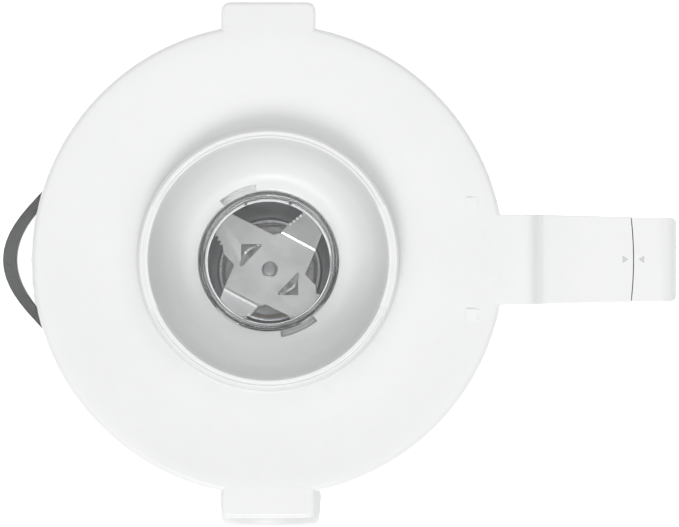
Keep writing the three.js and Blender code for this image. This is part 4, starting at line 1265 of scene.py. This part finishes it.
def padlock(name, middle_y, shackle_side):
    """A raised padlock; the unlocked one has its shackle set to one side."""
    low, top, x0 = LID_TOP - 0.8, LID_TOP - 0.1, 63
    body = raised(name, box_outline(x0 - 2.4, x0 + 1, middle_y - 2.1, middle_y + 2.1, 0.6), low, top)
    middle = (x0 + 1.6, middle_y + shackle_side)
    hoop = arc(1.8, -90, 90, 12, middle) + arc(1.0, 90, -90, 12, middle)
    combine(body, raised("shackle", hoop, low, top))
    for side in ((-1,) if shackle_side else (-1, 1)):
        leg_y = middle[1] + side * 1.4
        leg = box_outline(x0 + 0.6, x0 + 1.8, leg_y - 0.4, leg_y + 0.4)
        combine(body, raised("leg", leg, low, top - 0.02))
    soften(body, 0.08, 1, 50)
    return shade(body)


def add_seals():
    low, high = span("lid_seal")
    mid = (low.z + high.z) / 2
    lips = turned("lid_gasket", eased([
        (64.4, low.z, 0.3), (65.5, low.z + 0.9, 0.4), (65, mid, 0.6), (65.6, high.z - 0.9, 0.4),
        (64.4, high.z, 0.3)]), 160)
    shade(lips, 50)
    finished(lips, "lid_ring", "silicone", "lid_seal")
    low, high = span("cup_seal")
    band = turned("cup_band", eased([
        (20.6, low.z, 0.3), (high.x - 0.3, low.z, 0.3), (high.x, (low.z + high.z) / 2, 0.8),
        (high.x - 0.3, high.z, 0.3), (20.6, high.z, 0.3)]), 96)
    shade(band, 50)
    finished(band, "cup_ring", "silicone", "cup_seal")


# ---------------------------------------------------------------- measuring cup


def add_cup():
    low, top, radius, body, bore = CUP_LOW.z, CUP_HIGH.z, 21.5, 20.9, 19.6
    groove_low, groove_high = (corner.z for corner in span("cup_seal"))
    cup = turned("clear_cup", eased([
        (0, low), (body - 0.2, low, 0.2), (body, low + 0.5, 0.2), (body, groove_low - 0.3, 0.2),
        (body - 0.6, groove_low - 0.3, 0.2), (body - 0.6, groove_high + 0.3, 0.2),
        (body, groove_high + 0.3, 0.2), (body, 356.2, 0.4), (radius, 357, 0.6), (radius, top - 0.4, 0.4),
        (radius - 0.8, top, 0.4),
        (radius - 1.5, top, 0.3), (radius - 1.8, top - 0.6, 0.3), (radius - 1.8, 357, 1), (bore, 355.6, 1),
        (bore, low + 2.4, 0.2), (bore - 0.4, low + 2, 0.2), (0, low + 2)]), 144)
    for angle in (69, 112, 248, 292):
        across = [polar(radius - 3, angle - 1.6), polar(radius - 0.6, angle - 1.5),
                  polar(radius - 0.6, angle + 1.5), polar(radius - 3, angle + 1.6)]
        rib = raised("rib", across, 357.6, top - 0.5)
        soften(rib, 0.2, 2, 50)
        combine(cup, rib)
    for start, end in LUG_ANGLES:
        lug = wedge("lug", 20.4, CUP_HIGH.y, LUG_LOW, LUG_HIGH, start, end)
        soften(lug, 0.3, 2, 50)
        combine(cup, lug)
    shade(cup, 36)
    finished(cup, "cup", "cup_plastic", "measuring_cup", slot="clear_plastic")


# ---------------------------------------------------------------- studio


def add_studio(sizes):
    deselect_all()
    bpy.ops.mesh.primitive_plane_add(size=9, location=(0, 0, -0.3 * MM))
    floor = bpy.context.object
    floor.name = "studio_floor"
    material_made, tree, shader, where = blank("studio_floor")
    colour = bpy.context.scene.blender_colours.floor
    tone = effect(tree, "tone_drift", {
        "Vector": where, "Scale": 0.002, "Tone": opaque(colour), "Second Tone": scaled_tone(colour, 0.985)})
    tree.links.new(tone["Color"], shader.inputs["Base Color"])
    shader.inputs["Roughness"].default_value = 0.75
    shader.inputs["Emission Color"].default_value = (1, 1, 1, 1)
    shader.inputs["Emission Strength"].default_value = 0.55
    floor.data.materials.append(material_made)
    add_lamps()
    add_sky()
    add_camera(sizes)
    bpy.context.scene.view_settings.view_transform = "Standard"


def add_lamps():
    for name, spot, size, power in (("front_softbox", (-0.35, -1.7, 2.5), 1.3, 28),
                                    ("back_fill", (0.5, 1.9, 1.8), 1.6, 4)):
        deselect_all()
        bpy.ops.object.light_add(type="AREA", location=spot)
        lamp = bpy.context.object
        lamp.name = name
        lamp.data.shape = "DISK"
        lamp.data.size = size
        lamp.data.energy = power
        aim = Vector((0, 0, 0.3)) - lamp.location
        lamp.rotation_euler = aim.to_track_quat("-Z", "Y").to_euler()


def add_sky():
    world = bpy.data.worlds.new("studio_light")
    bpy.context.scene.world = world
    world.use_nodes = True
    tree = world.node_tree
    background = tree.nodes["Background"]
    direction = node(tree, "ShaderNodeTexCoord").outputs["Generated"]
    height = node(tree, "ShaderNodeSeparateXYZ", {"Vector": direction}).outputs["Z"]
    ramp = node(tree, "ShaderNodeMapRange", {"Value": height, "From Min": 0.2, "From Max": 0.95,
                                             "To Min": 0.28, "To Max": 1.0}, interpolation_type="SMOOTHSTEP")
    tree.links.new(ramp.outputs["Result"], background.inputs["Color"])
    background.inputs["Strength"].default_value = 0.98


def add_camera(sizes):
    eye = place(5, -39, sizes.camera_height / MM)
    deselect_all()
    bpy.ops.object.camera_add(location=eye)
    camera = bpy.context.object
    camera.name = "studio_camera"
    camera.data.lens = sizes.camera_lens
    camera.data.clip_end = 20
    back = (eye - place(21.8, -1.2, 380)).normalized()
    right = Vector((0, 1, 0)).cross(back).normalized()
    turn = Matrix((right, back.cross(right), back)).transposed()
    camera.rotation_euler = turn.to_euler()
    bpy.context.scene.camera = camera


# ---------------------------------------------------------------- operators and panel


class JUGBLENDER_OT_housing(bpy.types.Operator):
    """Add the base's smooth shell with its deck, vents and holes"""

    bl_idname = "jugblender.housing"
    bl_label = "Housing"

    def execute(self, context):
        add_housing(context.scene.blender_sizes)
        return {"FINISHED"}


class JUGBLENDER_OT_underside(bpy.types.Operator):
    """Add the bottom plate, the four feet and their screws"""

    bl_idname = "jugblender.underside"
    bl_label = "Underside"

    def execute(self, context):
        add_underside()
        return {"FINISHED"}


class JUGBLENDER_OT_cord_bush(bpy.types.Operator):
    """Add the rubber bush of the mains inlet"""

    bl_idname = "jugblender.cord_bush"
    bl_label = "Cord bush"

    def execute(self, context):
        add_cord_bush()
        return {"FINISHED"}


class JUGBLENDER_OT_front_knob(bpy.types.Operator):
    """Add the speed knob, its pointer, its ring and the marks round it"""

    bl_idname = "jugblender.front_knob"
    bl_label = "Speed knob"

    def execute(self, context):
        add_front_knob(context.scene.blender_sizes)
        add_dial_marks()
        return {"FINISHED"}


class JUGBLENDER_OT_motor(bpy.types.Operator):
    """Give the motor its finishes and add both halves of the coupling"""

    bl_idname = "jugblender.motor"
    bl_label = "Motor and couplings"

    def execute(self, context):
        finish_motor()
        add_coupling("motor_dog", "drive_coupling", "rotor")
        add_coupling("blade_dog", "driven_coupling", "blades")
        return {"FINISHED"}


class JUGBLENDER_OT_carrier(bpy.types.Operator):
    """Add the blade carrier with its seat, gasket and bushing"""

    bl_idname = "jugblender.carrier"
    bl_label = "Blade carrier"

    def execute(self, context):
        add_carrier()
        return {"FINISHED"}


class JUGBLENDER_OT_blade(bpy.types.Operator):
    """Add the stamped blade and the fittings that hold it"""

    bl_idname = "jugblender.blade"
    bl_label = "Blade"

    def execute(self, context):
        add_blade(context.scene.blender_sizes)
        add_blade_fittings()
        return {"FINISHED"}


class JUGBLENDER_OT_jug(bpy.types.Operator):
    """Add the clear jug with its spout and level lines"""

    bl_idname = "jugblender.jug"
    bl_label = "Jug"

    def execute(self, context):
        add_jug(context.scene.blender_sizes)
        add_scale_marks(context.scene.blender_sizes)
        return {"FINISHED"}


class JUGBLENDER_OT_handle(bpy.types.Operator):
    """Add the jug's handle and its screws"""

    bl_idname = "jugblender.handle"
    bl_label = "Handle"

    def execute(self, context):
        add_handle(context.scene.blender_sizes)
        return {"FINISHED"}


class JUGBLENDER_OT_lid(bpy.types.Operator):
    """Add the lid with its collar, tabs, tongue and marks"""

    bl_idname = "jugblender.lid"
    bl_label = "Lid"

    def execute(self, context):
        add_lid(context.scene.blender_sizes)
        add_lid_marks()
        return {"FINISHED"}


class JUGBLENDER_OT_seals(bpy.types.Operator):
    """Add the seals of the lid and of the measuring cup"""

    bl_idname = "jugblender.seals"
    bl_label = "Seals"

    def execute(self, context):
        add_seals()
        return {"FINISHED"}


class JUGBLENDER_OT_cup(bpy.types.Operator):
    """Add the clear measuring cup"""

    bl_idname = "jugblender.cup"
    bl_label = "Measuring cup"

    def execute(self, context):
        add_cup()
        return {"FINISHED"}


class JUGBLENDER_OT_studio(bpy.types.Operator):
    """Add the floor, the lights and the camera"""

    bl_idname = "jugblender.studio"
    bl_label = "Studio"

    def execute(self, context):
        add_studio(context.scene.blender_sizes)
        return {"FINISHED"}


STEPS = ("housing", "underside", "cord_bush", "front_knob", "motor", "carrier", "blade", "jug", "handle",
         "lid", "seals", "cup", "studio")


class JUGBLENDER_PT_steps(bpy.types.Panel):
    """Lists the steps that build the blender, with its sizes and colours"""

    bl_idname = "JUGBLENDER_PT_steps"
    bl_label = "Countertop Blender"
    bl_space_type = "VIEW_3D"
    bl_region_type = "UI"
    bl_category = "Countertop Blender"

    def draw(self, context):
        for step in STEPS:
            self.layout.operator(f"jugblender.{step}")
        for group in (context.scene.blender_sizes, context.scene.blender_colours):
            box = self.layout.box()
            for name in group.__annotations__:
                box.prop(group, name)


CLASSES = (
    BlenderSizes, BlenderColours, JUGBLENDER_OT_housing, JUGBLENDER_OT_underside, JUGBLENDER_OT_cord_bush,
    JUGBLENDER_OT_front_knob, JUGBLENDER_OT_motor, JUGBLENDER_OT_carrier, JUGBLENDER_OT_blade,
    JUGBLENDER_OT_jug, JUGBLENDER_OT_handle, JUGBLENDER_OT_lid, JUGBLENDER_OT_seals, JUGBLENDER_OT_cup,
    JUGBLENDER_OT_studio, JUGBLENDER_PT_steps,
)


def register():
    for cls in CLASSES:
        bpy.utils.register_class(cls)
    bpy.types.Scene.blender_sizes = bpy.props.PointerProperty(type=BlenderSizes)
    bpy.types.Scene.blender_colours = bpy.props.PointerProperty(type=BlenderColours)


def unregister():
    del bpy.types.Scene.blender_colours
    del bpy.types.Scene.blender_sizes
    for cls in reversed(CLASSES):
        bpy.utils.unregister_class(cls)


def main():
    register()
    for step in STEPS:
        getattr(bpy.ops.jugblender, step)()


if __name__ == "__main__":
    main()
